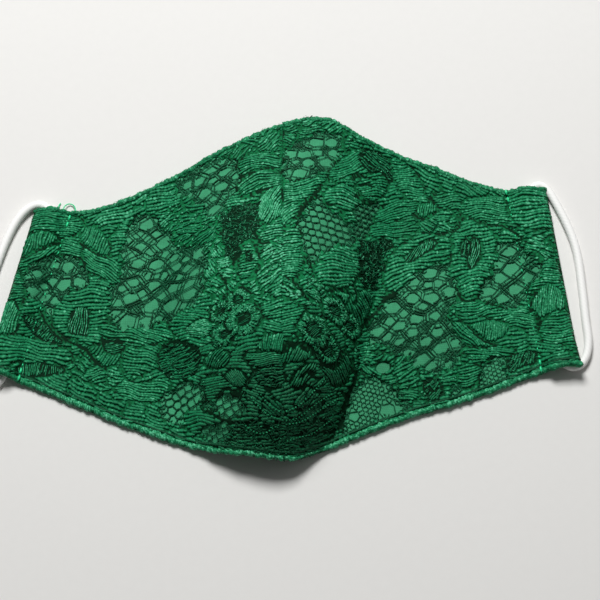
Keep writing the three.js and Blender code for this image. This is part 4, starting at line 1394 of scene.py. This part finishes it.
class LACEMASK_OT_lace_ground(bpy.types.Operator):
    """Lays the lace's fine ground over the lining, open where the coarse nets are"""
    bl_idname = "lacemask.lace_ground"
    bl_label = "Lace ground"

    def execute(self, context):
        for side, *_ in SIDES:
            x, y = half_grid(side, across=116, rows=132)
            for loop in WINDOWS:
                x, y = snapped(x, y, loop)
            base, normal = skin(x, y)
            owner = on_chart(CHART, cell_middles(x), cell_middles(y))
            lone, net = (owner >= LONE_ID) & (owner < GAP_ID), (owner >= NET_ID) & (owner < MESH_ID)
            window = lone | net | np.isin(owner, OPEN_MESHES)
            points, faces, uv = slab(base + normal * GROUND_TOP, base + normal * GROUND_UNDER, ~window)
            plan = points[:, :2].T
            # the ground is painted dark in those places, and lighter and darker from place to place as light
            # and shade
            tone = np.where(on_chart(DARK_AND_SHADED_PLACES, *plan), 0.15, 1.0) * painted_light(*plan)
            piece = make_piece("lace_ground_" + side, points, faces, material("ground"), uv, tone)
            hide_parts("lace_" + side)
        return {"FINISHED"}


# The seam shows as a thin gap near the nose; further down the ribs of the two halves lap over it
SEAM_OPEN_Y, SEAM_GAP, SEAM_LAP = 26.0, -0.1, 0.6


def ring_ribs(number, loop, rng):
    """Plan lines of the ribs of a flower, from its heart out to its edge."""
    middle = loop.mean(axis=0)
    reach = np.linalg.norm(loop - middle, axis=1).max()
    step, round_at = 0.5, 0.8 * reach
    count = int(2 * math.pi * round_at / STYLES["f"]["pitch"])
    lines = []
    for turn in 2 * math.pi * (np.arange(count) + rng.uniform(-0.2, 0.2, count)) / count:
        along = np.arange(step, reach + step, step)
        bend = turn + 0.03 * along * rng.uniform(-1, 1)
        line = middle + np.stack([along * np.cos(bend), along * np.sin(bend)], axis=1)
        # an inner and an outer row of short ribs
        half = int(len(along) * rng.uniform(0.55, 0.75))
        shown = on_chart(CHART, *line.T) == number
        lines += stretches(line[:half], shown[:half]) + stretches(line[half - 1:], shown[half - 1:])
    return lines


# Slow waves that neighbouring ribs follow together: height, length across, length up and down, and phase
DRIFT = ((0.65, 25.0, 33.0, 0.4), (0.3, 12.5, -21.0, 2.1), (0.12, 7.1, 13.0, 4.0))


def drift(x, level):
    """How far ribs wander from their straight or arched lines."""
    return sum(high * np.sin(2 * np.pi * (x / long + level / tall) + phase)
               for high, long, tall, phase in DRIFT)


SWAY_LENGTHS = (17.0, 8.0, 4.2)
# How many times further some ribs run out over a net, and how far they reach over a fold, in mm
OVER_NET, OVER_FOLD = 2.5, 0.5


def rib_lines(number, motif, rng):
    """Plan lines of a motif's ribs, as far as it shows, and how much closer than usual they lie."""
    style, arch = STYLES[motif.kind], motif.arch
    if motif.kind == "f":
        return ring_ribs(number, motif.loop, rng), 1.0
    turn = math.radians(motif.turn)
    u, v, c, s = picture_axes(motif.loop, math.atan2(math.sin(turn) / FORESHORTENING, math.cos(turn)))
    half = max((u.max() - u.min()) / 2, 1.0)
    steps = np.arange(u.min() - 1, u.max() + 1, 0.6)
    # ribs lie closer in motifs smaller than 18 mm
    pitch = style["pitch"] * np.clip(min(v.max() - v.min(), 2 * half) / 18, 0.74, 1)
    starts = np.arange(v.min() - abs(arch) - 1, v.max() + abs(arch) + 1, pitch)
    starts = starts + rng.uniform(-0.12, 0.12, len(starts)) * pitch
    uu = steps[None] + rng.uniform(-0.3, 0.3, len(starts))[:, None]
    sway = np.zeros(uu.shape)
    for length in SWAY_LENGTHS:
        phase = rng.uniform(0, PHASE, len(starts))[:, None]
        sway += np.sin(uu * 2 * np.pi / length + phase) * length / SWAY_LENGTHS[0]
    middle = (u.max() + u.min()) / 2
    vv = starts[:, None] + style["waver"] * sway - arch * ((uu - middle) / half)**2
    vv = vv + drift(uu * c - vv * s, uu * s + vv * c)
    x = uu * c - vv * s
    y = from_picture(x, uu * s + vv * c)
    # ends that don't stop all at the same line
    ragged = rng.uniform(-0.6, 0.6, len(starts))[:, None]
    shown = on_chart(CHART, x + ragged * c, y + ragged * s) == number
    # some ribs run out a little over the nets
    owner = on_chart(CHART, x, y)
    shown |= ((owner >= NET_ID) & (owner < LONE_ID)
              & (on_chart(CHART, x + OVER_NET * ragged * c, y + OVER_NET * ragged * s) == number))
    over_fold = np.max([past_line(x, y, fold, outward) for _, fold, _, outward in SIDES], axis=0)
    shown &= (owner != OUTSIDE) | ((over_fold > 0) & (over_fold < OVER_FOLD))
    shown &= (owner != GAP_ID) & ~on_chart(SHADED_BORDERS, x, y)
    past = past_seam(x, y)
    at_seam = (on_chart(CHART, x - SEAM_LAP, y) == number) | (on_chart(CHART, x + SEAM_LAP, y) == number)
    shown |= at_seam & (np.abs(past) < SEAM_LAP) & (y < SEAM_OPEN_Y)
    if style["breaks"]:
        phase = rng.uniform(0, PHASE, len(starts))[:, None]
        waves = np.sin(uu * 0.9 + phase) + np.sin(uu * 0.37 + phase * 3)
        shown &= waves < 2 - 4 * style["breaks"]
    lines = []
    lap = np.where(y > SEAM_OPEN_Y, SEAM_GAP, SEAM_LAP)
    for k in range(len(starts)):
        for part in (shown[k] & (past[k] > -lap[k]), shown[k] & (past[k] < lap[k])):
            lines += [np.stack([x[k, a:b], y[k, a:b]], axis=1) for a, b in runs(part) if b - a >= FEWEST]
    return lines, pitch / style["pitch"]


def tangle(places, density, tones, rng):
    """Short crooked strands strewn over places of the chart, so many to a square mm, with their tones."""
    rows, cols = np.nonzero(places)
    picks = rng.integers(0, len(rows), int(len(rows) * CELL**2 * density))
    values, shares = zip(*tones)
    strands = []
    for row, col in zip(rows[picks], cols[picks]):
        tone = rng.choice(values, p=shares)
        turn, curl = rng.uniform(0, PHASE), rng.uniform(-1.2, 1.2)
        # bright strands are painted glints, short, where a strand comes up and goes down again
        length = rng.uniform(0.6, 1.0) if tone > 1 else rng.uniform(1.0, 2.4)
        t = np.linspace(-0.5, 0.5, 4 if tone > 1 else 5)
        heading = turn + curl * t
        line = np.stack([np.cos(heading), np.sin(heading)], axis=1) * (t * length)[:, None]
        strands.append((line + (CHART_X[col], CHART_Y[row]), tone))
    return strands


# Crooked strands over some styles: number to a square mm, width, lift, and tones with their shares
RIB_TANGLES = (
    ("d", 0.6, 0.4, 0.2, ((0.1, 0.6), (0.55, 0.25), (1.6, 0.15))),
    ("s", 0.14, 0.4, 0.25, ((0.15, 0.55), (1.5, 0.45))),
    ("f", 0.6, 0.45, 0.2, ((0.3, 0.3), (0.9, 0.3), (1.6, 0.4))),
)
# Rise of fine strands over their sides
STRAND_RISE = 0.3


class LACEMASK_OT_lace_ribs(bpy.types.Operator):
    """Fills the lace's leaves and strips with rows of ribs"""
    bl_idname = "lacemask.lace_ribs"
    bl_label = "Lace ribs"

    def execute(self, context):
        halves = Halves()
        rng = np.random.default_rng(seed=11)
        for number, motif in enumerate(MOTIFS):
            style = STYLES[motif.kind]
            lines, fine = rib_lines(number, motif, rng)
            halves.lay(lines, width=style["width"] * fine, lift=GROUND_TOP, rise=style["rise"],
                       tone=motif.tone * style["tone"], bead=0.2)
        for kind, density, width, lift, tones in RIB_TANGLES:
            for line, tone in tangle(np.isin(CHART, of_kinds(kind)), density, tones, rng):
                halves.lay([line], width=width, lift=GROUND_TOP + lift, rise=STRAND_RISE, tone=tone)
        halves.build("lace_ribs_", seed=21)
        return {"FINISHED"}


def filled(cells, number):
    """A net's charted cells and the small ones that fill the room between them."""
    x, y = np.meshgrid(CHART_X[::2], CHART_Y[::2])
    inside = on_chart(CHART, x, y) == NET_ID + number
    x, y = x[inside], y[inside]
    cells = [tuple(cell) for cell in cells]
    least_room, rim, largest = 2.3, 0.8, 1.6
    room = np.min([np.hypot(x - cx, y - cy) - r for cx, cy, r in cells], axis=0)
    while room.max() > least_room:
        k = room.argmax()
        cells.append((x[k], y[k], min(room[k] - rim, largest)))
        room = np.minimum(room, np.hypot(x - x[k], y - y[k]) - cells[-1][2])
    return cells


def bars(cells, reach, half, slack):
    """Middle lines of the bars between a net's cells that are in reach, their ways across and widths."""
    lines = []
    places = np.array(cells)
    t, least_width = np.arange(-half, half, 0.3), 0.4
    for (xi, yi, ri), (xj, yj, rj) in itertools.combinations(cells, 2):
        gap = math.hypot(xj - xi, yj - yi)
        if gap - ri - rj >= reach:
            continue
        dx, dy = (xj - xi) / gap, (yj - yi) / gap
        middle = (gap + (ri**2 - rj**2) / gap) / 2
        px, py = xi + dx * middle, yi + dy * middle
        x, y = px - dy * t, py + dx * t
        own = (x - xi)**2 + (y - yi)**2 - ri**2
        near_by = places[np.hypot(places[:, 0] - px, places[:, 1] - py) < 3 * half]
        others = (x[:, None] - near_by[:, 0])**2 + (y[:, None] - near_by[:, 1])**2 - near_by[:, 2]**2
        for a, b in runs(own <= others.min(axis=1) + slack):
            if b - a >= FEWEST:
                lines.append((np.stack([x[a:b], y[a:b]], axis=1), (dx, dy), max(gap - ri - rj, least_width)))
    return lines


def lattice(number, cells, rng):
    """Bundles of straight strands that cross a coarse net, without the parts that lie over its cells."""
    rows, cols = np.nonzero(CHART == NET_ID + number)
    corners = np.stack([CHART_X[cols], CHART_Y[rows]], axis=1)
    lines = []
    bundle_step, strand_step = 7.0, 0.9
    for turn in (38, -50):
        c, s = math.cos(math.radians(turn)), math.sin(math.radians(turn))
        u, v = corners @ (c, s), corners @ (-s, c)
        along = np.arange(u.min(), u.max(), 0.4)
        for bundle in np.arange(v.min(), v.max(), bundle_step) + rng.uniform(0, bundle_step):
            bundle += rng.uniform(-0.8, 0.8)
            for strand in range(rng.integers(1, 4)):
                wave = 0.12 * np.sin(along / 2.1 + rng.uniform(0, PHASE))
                over = bundle + strand * strand_step + wave
                line = np.stack([along * c - over * s, along * s + over * c], axis=1)
                free = on_chart(CHART, *line.T) == NET_ID + number
                for x, y, radius in cells:
                    free &= np.hypot(line[:, 0] - x, line[:, 1] - y) > 0.85 * radius
                lines += stretches(line, free)
    return lines


def row_cells(spacing, loop, rng):
    """Cells of a fine net, in slanting rows, each row set over by half a cell."""
    u, v, c, s = picture_axes(loop, angle=math.radians(-17))
    cells = []
    for row, across in enumerate(np.arange(v.min() - spacing, v.max() + spacing, 0.86 * spacing)):
        along = np.arange(u.min() - spacing, u.max() + spacing, spacing) + row % 2 * spacing / 2
        along = along + rng.uniform(-0.14, 0.14, len(along)) * spacing
        up = across + rng.uniform(-0.12, 0.12, len(along)) * spacing
        x = along * c - up * s
        y = from_picture(x, along * s + up * c)
        cells += [(px, py, rng.uniform(0.26, 0.36) * spacing) for px, py in zip(x, y)]
    for big in cells_of(BIG_CELLS):
        clear = big[2] + 0.4 * spacing
        cells = [cell for cell in cells if math.dist(cell[:2], big[:2]) > clear] + [big]
    return cells


def stretches(line, inside):
    """The parts of a plan line that lie inside, parted at the centre seam."""
    right = past_seam(*line.T) > 0
    return [line[a:b] for half in (inside & right, inside & ~right) for a, b in runs(half) if b - a >= FEWEST]


def shown_parts(line, owner):
    """The stretches of a plan line that lie where the chart shows an owner."""
    return stretches(line, on_chart(CHART, *line.T) == owner)


def on_mask(line):
    """The stretches of a plan line that lie on the mask."""
    return stretches(line, on_chart(CHART, *line.T) != OUTSIDE)


# Share of its radius that a coarse net's cell keeps clear, and the distance of a bar's strands
NET_CELL_SHARE, NET_STRAND_STEP = 0.96, 1.3
# Slant of the coarse nets' cells, in degrees, and their length to a width of 1
NET_SLANT, NET_STRETCH = 18, 1.35
# Fewest and most strands of a bar, and their widths and tones with their shares
NET_STRANDS = (2, 4)
STRAND_KINDS, KIND_SHARES = ((0.6, 0.06), (0.27, 0.12), (0.27, 0.35)), (0.18, 0.5, 0.32)
# Lift of a net's threads, and how many of the chart's cells the ground frays into a net
NET_LIFT, FRAY_CELLS = 0.4, 6
# Tones of strands where the ground frays and in a tangle, with their shares
FRAY_TONES = ((0.15, 0.4), (0.5, 0.35), (0.9, 0.25))
TANGLE_TONES = ((0.1, 0.6), (0.55, 0.28), (1.7, 0.12))
# Distance of its cells, in mm, from which a fine mesh is darker
COARSE_MESH = 2.2


def slanted_bars(cells):
    """Bars of a coarse net, whose cells are longer than wide: their lines, ways across and widths."""
    c, s = math.cos(math.radians(NET_SLANT)), math.sin(math.radians(NET_SLANT))
    squeeze = np.array([[c, s], [-s * NET_STRETCH, c * NET_STRETCH]])
    back = np.linalg.inv(squeeze)
    round_cells = [(*(squeeze @ (x, y)), radius * math.sqrt(NET_STRETCH)) for x, y, radius in cells]
    for line, way, width in bars(round_cells, reach=9, half=9, slack=4.0):
        across = back @ way
        size = math.hypot(*across)
        yield line @ back.T, across / size, width * size


class LACEMASK_OT_lace_net(bpy.types.Operator):
    """Knots the coarse nets and fine meshes, and lays the stitch chains and a dark thread painted as shade"""
    bl_idname = "lacemask.lace_net"
    bl_label = "Lace net"

    def execute(self, context):
        halves = Halves()
        rng = np.random.default_rng(seed=5)
        for number, (_, flat) in enumerate(NETS):
            self.coarse_net(halves, number, flat, rng)
        for number, mesh in enumerate(MESHES, MESH_ID):
            self.fine_mesh(halves, number, mesh, rng)
        for numbers in CHAINS:
            for part in on_mask(smooth_line(points_of(numbers), spacing=0.3)):
                chain = [part[k:k + 3] for k in range(0, len(part) - 3, 4)]
                halves.lay(chain, width=0.8, lift=GROUND_TOP + 0.35, rise=0.45, tone=1.9)
        # a dark thread inside the chin's hem, painted as the shade of a groove there
        for _, fold, _, _ in SIDES:
            groove = on_mask(hem_path(0.0, fold, inset=2.7))
            halves.lay(groove, width=1.2, lift=GROUND_TOP + 0.15, rise=STRAND_RISE, tone=0.03, bead=0.3)
        halves.build("lace_net_", seed=22)
        return {"FINISHED"}

    def coarse_net(self, halves, number, flat, rng):
        """Ties the strands of a coarse net around its cells."""
        cells = filled(cells_of(flat) * (1, 1, NET_CELL_SHARE), number)
        owner = NET_ID + number
        for line, across, width in slanted_bars(cells):
            strands = int(np.clip(round(width / NET_STRAND_STEP) + 1, *NET_STRANDS))
            spread = min(NET_STRAND_STEP, width / (strands - 1))
            for k in range(strands):
                shift = (k - (strands - 1) / 2) * spread + rng.uniform(-0.12, 0.12)
                bow = 0.3 * np.sin(np.linspace(0, np.pi, len(line)))[:, None] * rng.uniform(-1, 1)
                parts = shown_parts(line + across * (shift + bow), owner)
                width_now, tone = STRAND_KINDS[rng.choice(len(STRAND_KINDS), p=KIND_SHARES)]
                halves.lay(parts, width=width_now, lift=NET_LIFT, rise=STRAND_RISE, tone=tone, bead=0.1)
        for line in lattice(number, cells[:len(flat) // 3], rng):
            tone = rng.choice([0.08, 0.2])
            halves.lay([line], width=0.26, lift=NET_LIFT + 0.05, rise=STRAND_RISE, tone=tone, bead=0.1)
        self.fray(halves, owner, rng)

    def fine_mesh(self, halves, owner, mesh, rng):
        """Ties a fine mesh, or fills its place with a tangle."""
        pitch, kind, outline = mesh
        spacing = pitch * PIXEL
        if kind == "tangle":
            for line, tone in tangle(CHART == owner, density=1.4, tones=TANGLE_TONES, rng=rng):
                halves.lay([line], width=0.36, lift=GROUND_TOP + 0.1, rise=0.35, tone=tone)
            return
        width = 0.38 * spacing if kind == "dark" else min(0.2 * spacing, 0.6)
        tone = 0.1 if spacing > COARSE_MESH else 0.25
        cells = row_cells(spacing, smooth_loop(points_of(outline)), rng)
        for line, across, _ in bars(cells, reach=spacing, half=spacing + 2, slack=0.1 * spacing**2):
            strand = line + np.array(across) * rng.uniform(-0.1, 0.1)
            halves.lay(shown_parts(strand, owner), width=width, lift=NET_LIFT, rise=STRAND_RISE, tone=tone)
        self.fray(halves, owner, rng)

    def fray(self, halves, owner, rng):
        """Lays strands of the ground that run a little way into a net."""
        inside = CHART == owner
        deep = inside
        for _ in range(FRAY_CELLS):
            deep = shrunk(deep)
        for line, tone in tangle(inside & ~deep, density=0.55, tones=FRAY_TONES, rng=rng):
            halves.lay([line], width=0.4, lift=NET_LIFT, rise=STRAND_RISE, tone=tone)


# Step and sides of a hem's tube, and its lift over the skin
HEM_STEP, HEM_SIDES, HEM_LIFT = 0.35, 14, 0.35
# Hems: name, place from the lower to the upper edge, share of the radius, length of a turn and tone; the
# chin's roll is painted lighter than the nose's, as the light it catches
HEMS = (("chin", 0.0, 0.88, 3.3, 1.12), ("nose", 1.0, 0.8, 2.2, 0.85))
# Wavelengths of a hem's unevenness and how far it strays in mm, swells as a share of its radius, or turns
HEM_STRAY = ((21.0, 0.14), (9.0, 0.14), (4.3, 0.12), (2.3, 0.08))
HEM_SWELL = ((17.0, 0.08), (7.3, 0.09), (3.9, 0.1), (2.1, 0.08))
HEM_TURNS = ((23.0, 2.6), (11.0, 1.5), (5.0, 0.8))
# Middle and half length of the stretch where the chin's hem is rolled under
UNDER_X, UNDER_HALF = 8, 8
# Where the hem's painted shade towards the ends starts, as the roll flattens, and over what length
SHADE_FROM, SHADE_LENGTH = 85, 25
# Loose fibres to a mm of hem
FIBRES = 4


def uneven(run, rows, rng):
    """Sum of waves along a hem, each with its length and size and a random start."""
    return sum(size * np.sin(run * 2 * np.pi / length + rng.uniform(0, PHASE)) for length, size in rows)


def hem_path(v, fold, inset):
    """Plan line along one half's hem, set in from the cut edge."""
    s = np.linspace(*sorted((SEAM_ROW, fold)), 1400)
    edge = np.stack(plan_point(s, np.full_like(s, v)), axis=1)
    length = run_along(edge)[-1]
    line = points_at(edge, np.linspace(0, length, int(length / HEM_STEP)))
    return line + beside(line) * (1 if v == 0 else -1) * inset


class LACEMASK_OT_hems(bpy.types.Operator):
    """Rolls the hems along the nose and chin edges"""
    bl_idname = "lacemask.hems"
    bl_label = "Rolled hems"

    def execute(self, context):
        radius = context.scene.lace_mask.hem_radius / MM
        rng = np.random.default_rng(seed=3)
        for side, fold, _, _ in SIDES:
            for name, v, share, turn, tone in HEMS:
                line = hem_path(v, fold, inset=0.8)
                base, normal = skin(*line.T)
                path = base + normal * HEM_LIFT
                run = np.arange(len(path)) * HEM_STEP
                # the roll isn't even: it strays a little to either side and thickens and thins
                path[:, 1] += uneven(run, HEM_STRAY, rng)
                swell = uneven(run, HEM_SWELL, rng)[:, None]
                path[:, 2] = np.maximum(path[:, 2], radius * 1.25 + 0.1)
                # rolled under where the chin's middle hangs
                thin = 1 - 0.4 * np.exp(-((line[:, 0] - UNDER_X) / UNDER_HALF)**2) * (v == 0)
                angle = np.linspace(0, 2 * np.pi, HEM_SIDES, endpoint=False)
                turns = run * 2 * np.pi / turn + uneven(run, HEM_TURNS, rng)
                twist = np.cos(angle[None] + turns[:, None])
                rough = rng.standard_normal(twist.shape)
                rough = 0.1 * (rough + 0.7 * np.roll(rough, 1, axis=0))
                sizes = radius * share * thin[:, None] * (1 + 0.03 * twist + swell + rough)
                grain = np.exp(0.45 * rng.standard_normal(twist.shape))
                # darker towards the mask's two ends: painted shade for a roll that flattens there, though the
                # tube keeps its size
                far = np.clip((np.abs(line[:, 0]) - SHADE_FROM) / SHADE_LENGTH, 0, 1)[:, None]
                shade = tone * (1 - 0.4 * far) * (1 + 0.1 * twist + swell + rough) * grain
                parts = [tube(path, sizes)]
                tones = [np.concatenate([shade.ravel(), [tone, tone]])]
                for start in rng.integers(4, len(path) - 4, int(run[-1] * FIBRES)):
                    fibre = self.fibre(path[start], path[start + 1] - path[start], radius * share, rng)
                    parts.append(fibre)
                    tones.append(np.full(len(fibre[0]), rng.uniform(0.4, 1.5)))
                piece = joined(f"hem_{name}_{side}", parts, material("yarn"), np.concatenate(tones))
        return {"FINISHED"}

    def fibre(self, middle, along, radius, rng):
        """A short loose fibre that stands out from a hem."""
        along = unit(along)
        side = np.cross((0.0, 0.0, 1.0), along)
        over = np.cross(along, side)
        turn = rng.uniform(-0.3, np.pi + 0.3)
        out = math.cos(turn) * side + math.sin(turn) * over
        length, lean = rng.uniform(0.2, 0.7), rng.uniform(-2.0, 2.0)
        t = np.linspace(0, 1, 4)[:, None]
        root, thickness = 0.8 * radius, 0.11 - 0.06 * t
        path = middle + out * (root + length * t) + along * (lean * length * t**2)
        path[:, 2] = np.maximum(path[:, 2], 0.15)
        return tube(path, np.repeat(thickness, 3, axis=1))


# Loose ends of the stitch line at the upper left corner: a small arch and a stub
LOOSE_ENDS = (
    ((-86.6, 36.6, 2.2), (-86.0, 39.4, 1.7), (-84.2, 40.9, 0.9), (-82.2, 39.8, 1.2), (-81.4, 37.0, 2.2)),
    ((-87.8, 36.6, 2.2), (-88.4, 38.6, 1.6), (-88.2, 40.6, 0.7), (-87.6, 41.4, 0.5)),
)
# Sides and points of a stitch, and the gap to the next one
STITCH_SIDES, STITCH_POINTS, STITCH_GAP = 6, 6, 0.8
# How far from a line's ends stitches show in full, and how far they go over the hem
SHOWN_REACH, HEM_REACH = 6, 1.5
# Elsewhere a stitch shows in part: how much, and how often
SHOWN_PARTS, PART_SHARES = (0.1, 0.5, 0.9), (0.65, 0.2, 0.15)


class LACEMASK_OT_stitches(bpy.types.Operator):
    """Sews the casings' stitch lines and leaves the loose thread at one corner"""
    bl_idname = "lacemask.stitches"
    bl_label = "Stitches"

    def execute(self, context):
        sizes = context.scene.lace_mask
        thick, long = sizes.stitch_thickness / MM, sizes.stitch_length / MM
        rng = np.random.default_rng(seed=4)
        arch = np.sin(np.linspace(0.1, np.pi - 0.1, STITCH_POINTS))[:, None]
        for side, _, stitch, _ in SIDES:
            ax, ay, bx, by = SECTIONS[stitch]
            run = math.hypot(bx - ax, by - ay)
            gathered = []
            for start in np.arange(0.1, run - long, long + STITCH_GAP):
                # the thread sinks into the lace away from the two ends
                from_end = min(start, run - long - start)
                shown = 1.0 if from_end < SHOWN_REACH else rng.choice(SHOWN_PARTS, p=PART_SHARES)
                length = long if shown == 1 else long * (0.3 + 0.3 * shown)
                t = np.linspace(start, start + length, STITCH_POINTS) / run
                base, normal = skin(ax + (bx - ax) * t, ay + (by - ay) * t)
                # the outermost stitches go over the hems
                over_hem = 0.9 if from_end < HEM_REACH else 0.0
                path = base + normal * (0.35 + 0.65 * shown + over_hem + 0.4 * arch)
                radius = thick * (0.5 + 0.5 * (shown == 1)) * (0.5 + 0.5 * arch)
                gathered.append(tube(path, np.repeat(radius, STITCH_SIDES, axis=1)))
            if side == "left":
                for end in LOOSE_ENDS:
                    path = smooth_line(end, spacing=0.4)
                    gathered.append(tube(path, np.full((len(path), STITCH_SIDES), thick / 2)))
            piece = joined("stitches_" + side, gathered, material("thread"))
        return {"FINISHED"}


def joined(name, parts, finish, tone=None):
    """One piece of several closed meshes."""
    points, faces, uvs, count = [], [], [], 0
    for part_points, part_faces, part_uv in parts:
        points.append(part_points)
        faces += [[corner + count for corner in face] for face in part_faces]
        uvs.append(np.asarray(part_uv).reshape(-1, 2))
        count += len(part_points)
    mesh_points, uv = np.concatenate(points), np.concatenate(uvs)
    return make_piece(name, mesh_points, faces, finish, uv, tone)


class LACEMASK_PT_panel(bpy.types.Panel):
    """Lists the mask's pieces and sizes"""
    bl_idname = "LACEMASK_PT_panel"
    bl_label = "Lace mask"
    bl_space_type = "VIEW_3D"
    bl_region_type = "UI"
    bl_category = "Lace mask"

    def draw(self, context):
        for operator in OPERATORS:
            self.layout.operator(operator.bl_idname)
        for name in LaceMaskSizes.__annotations__:
            self.layout.prop(context.scene.lace_mask, name)


OPERATORS = (
    LACEMASK_OT_stage,
    LACEMASK_OT_ear_loops,
    LACEMASK_OT_lining,
    LACEMASK_OT_lace_ground,
    LACEMASK_OT_lace_ribs,
    LACEMASK_OT_lace_net,
    LACEMASK_OT_hems,
    LACEMASK_OT_stitches,
)
CLASSES = (LaceMaskSizes, *OPERATORS, LACEMASK_PT_panel)


def register():
    for entry in CLASSES:
        bpy.utils.register_class(entry)
    bpy.types.Scene.lace_mask = bpy.props.PointerProperty(type=LaceMaskSizes)


def unregister():
    del bpy.types.Scene.lace_mask
    for entry in reversed(CLASSES):
        bpy.utils.unregister_class(entry)


def main():
    register()
    bpy.ops.lacemask.stage()
    bpy.ops.lacemask.ear_loops()
    bpy.ops.lacemask.lining()
    bpy.ops.lacemask.lace_ground()
    bpy.ops.lacemask.lace_ribs()
    bpy.ops.lacemask.lace_net()
    bpy.ops.lacemask.hems()
    bpy.ops.lacemask.stitches()


if __name__ == "__main__":
    main()
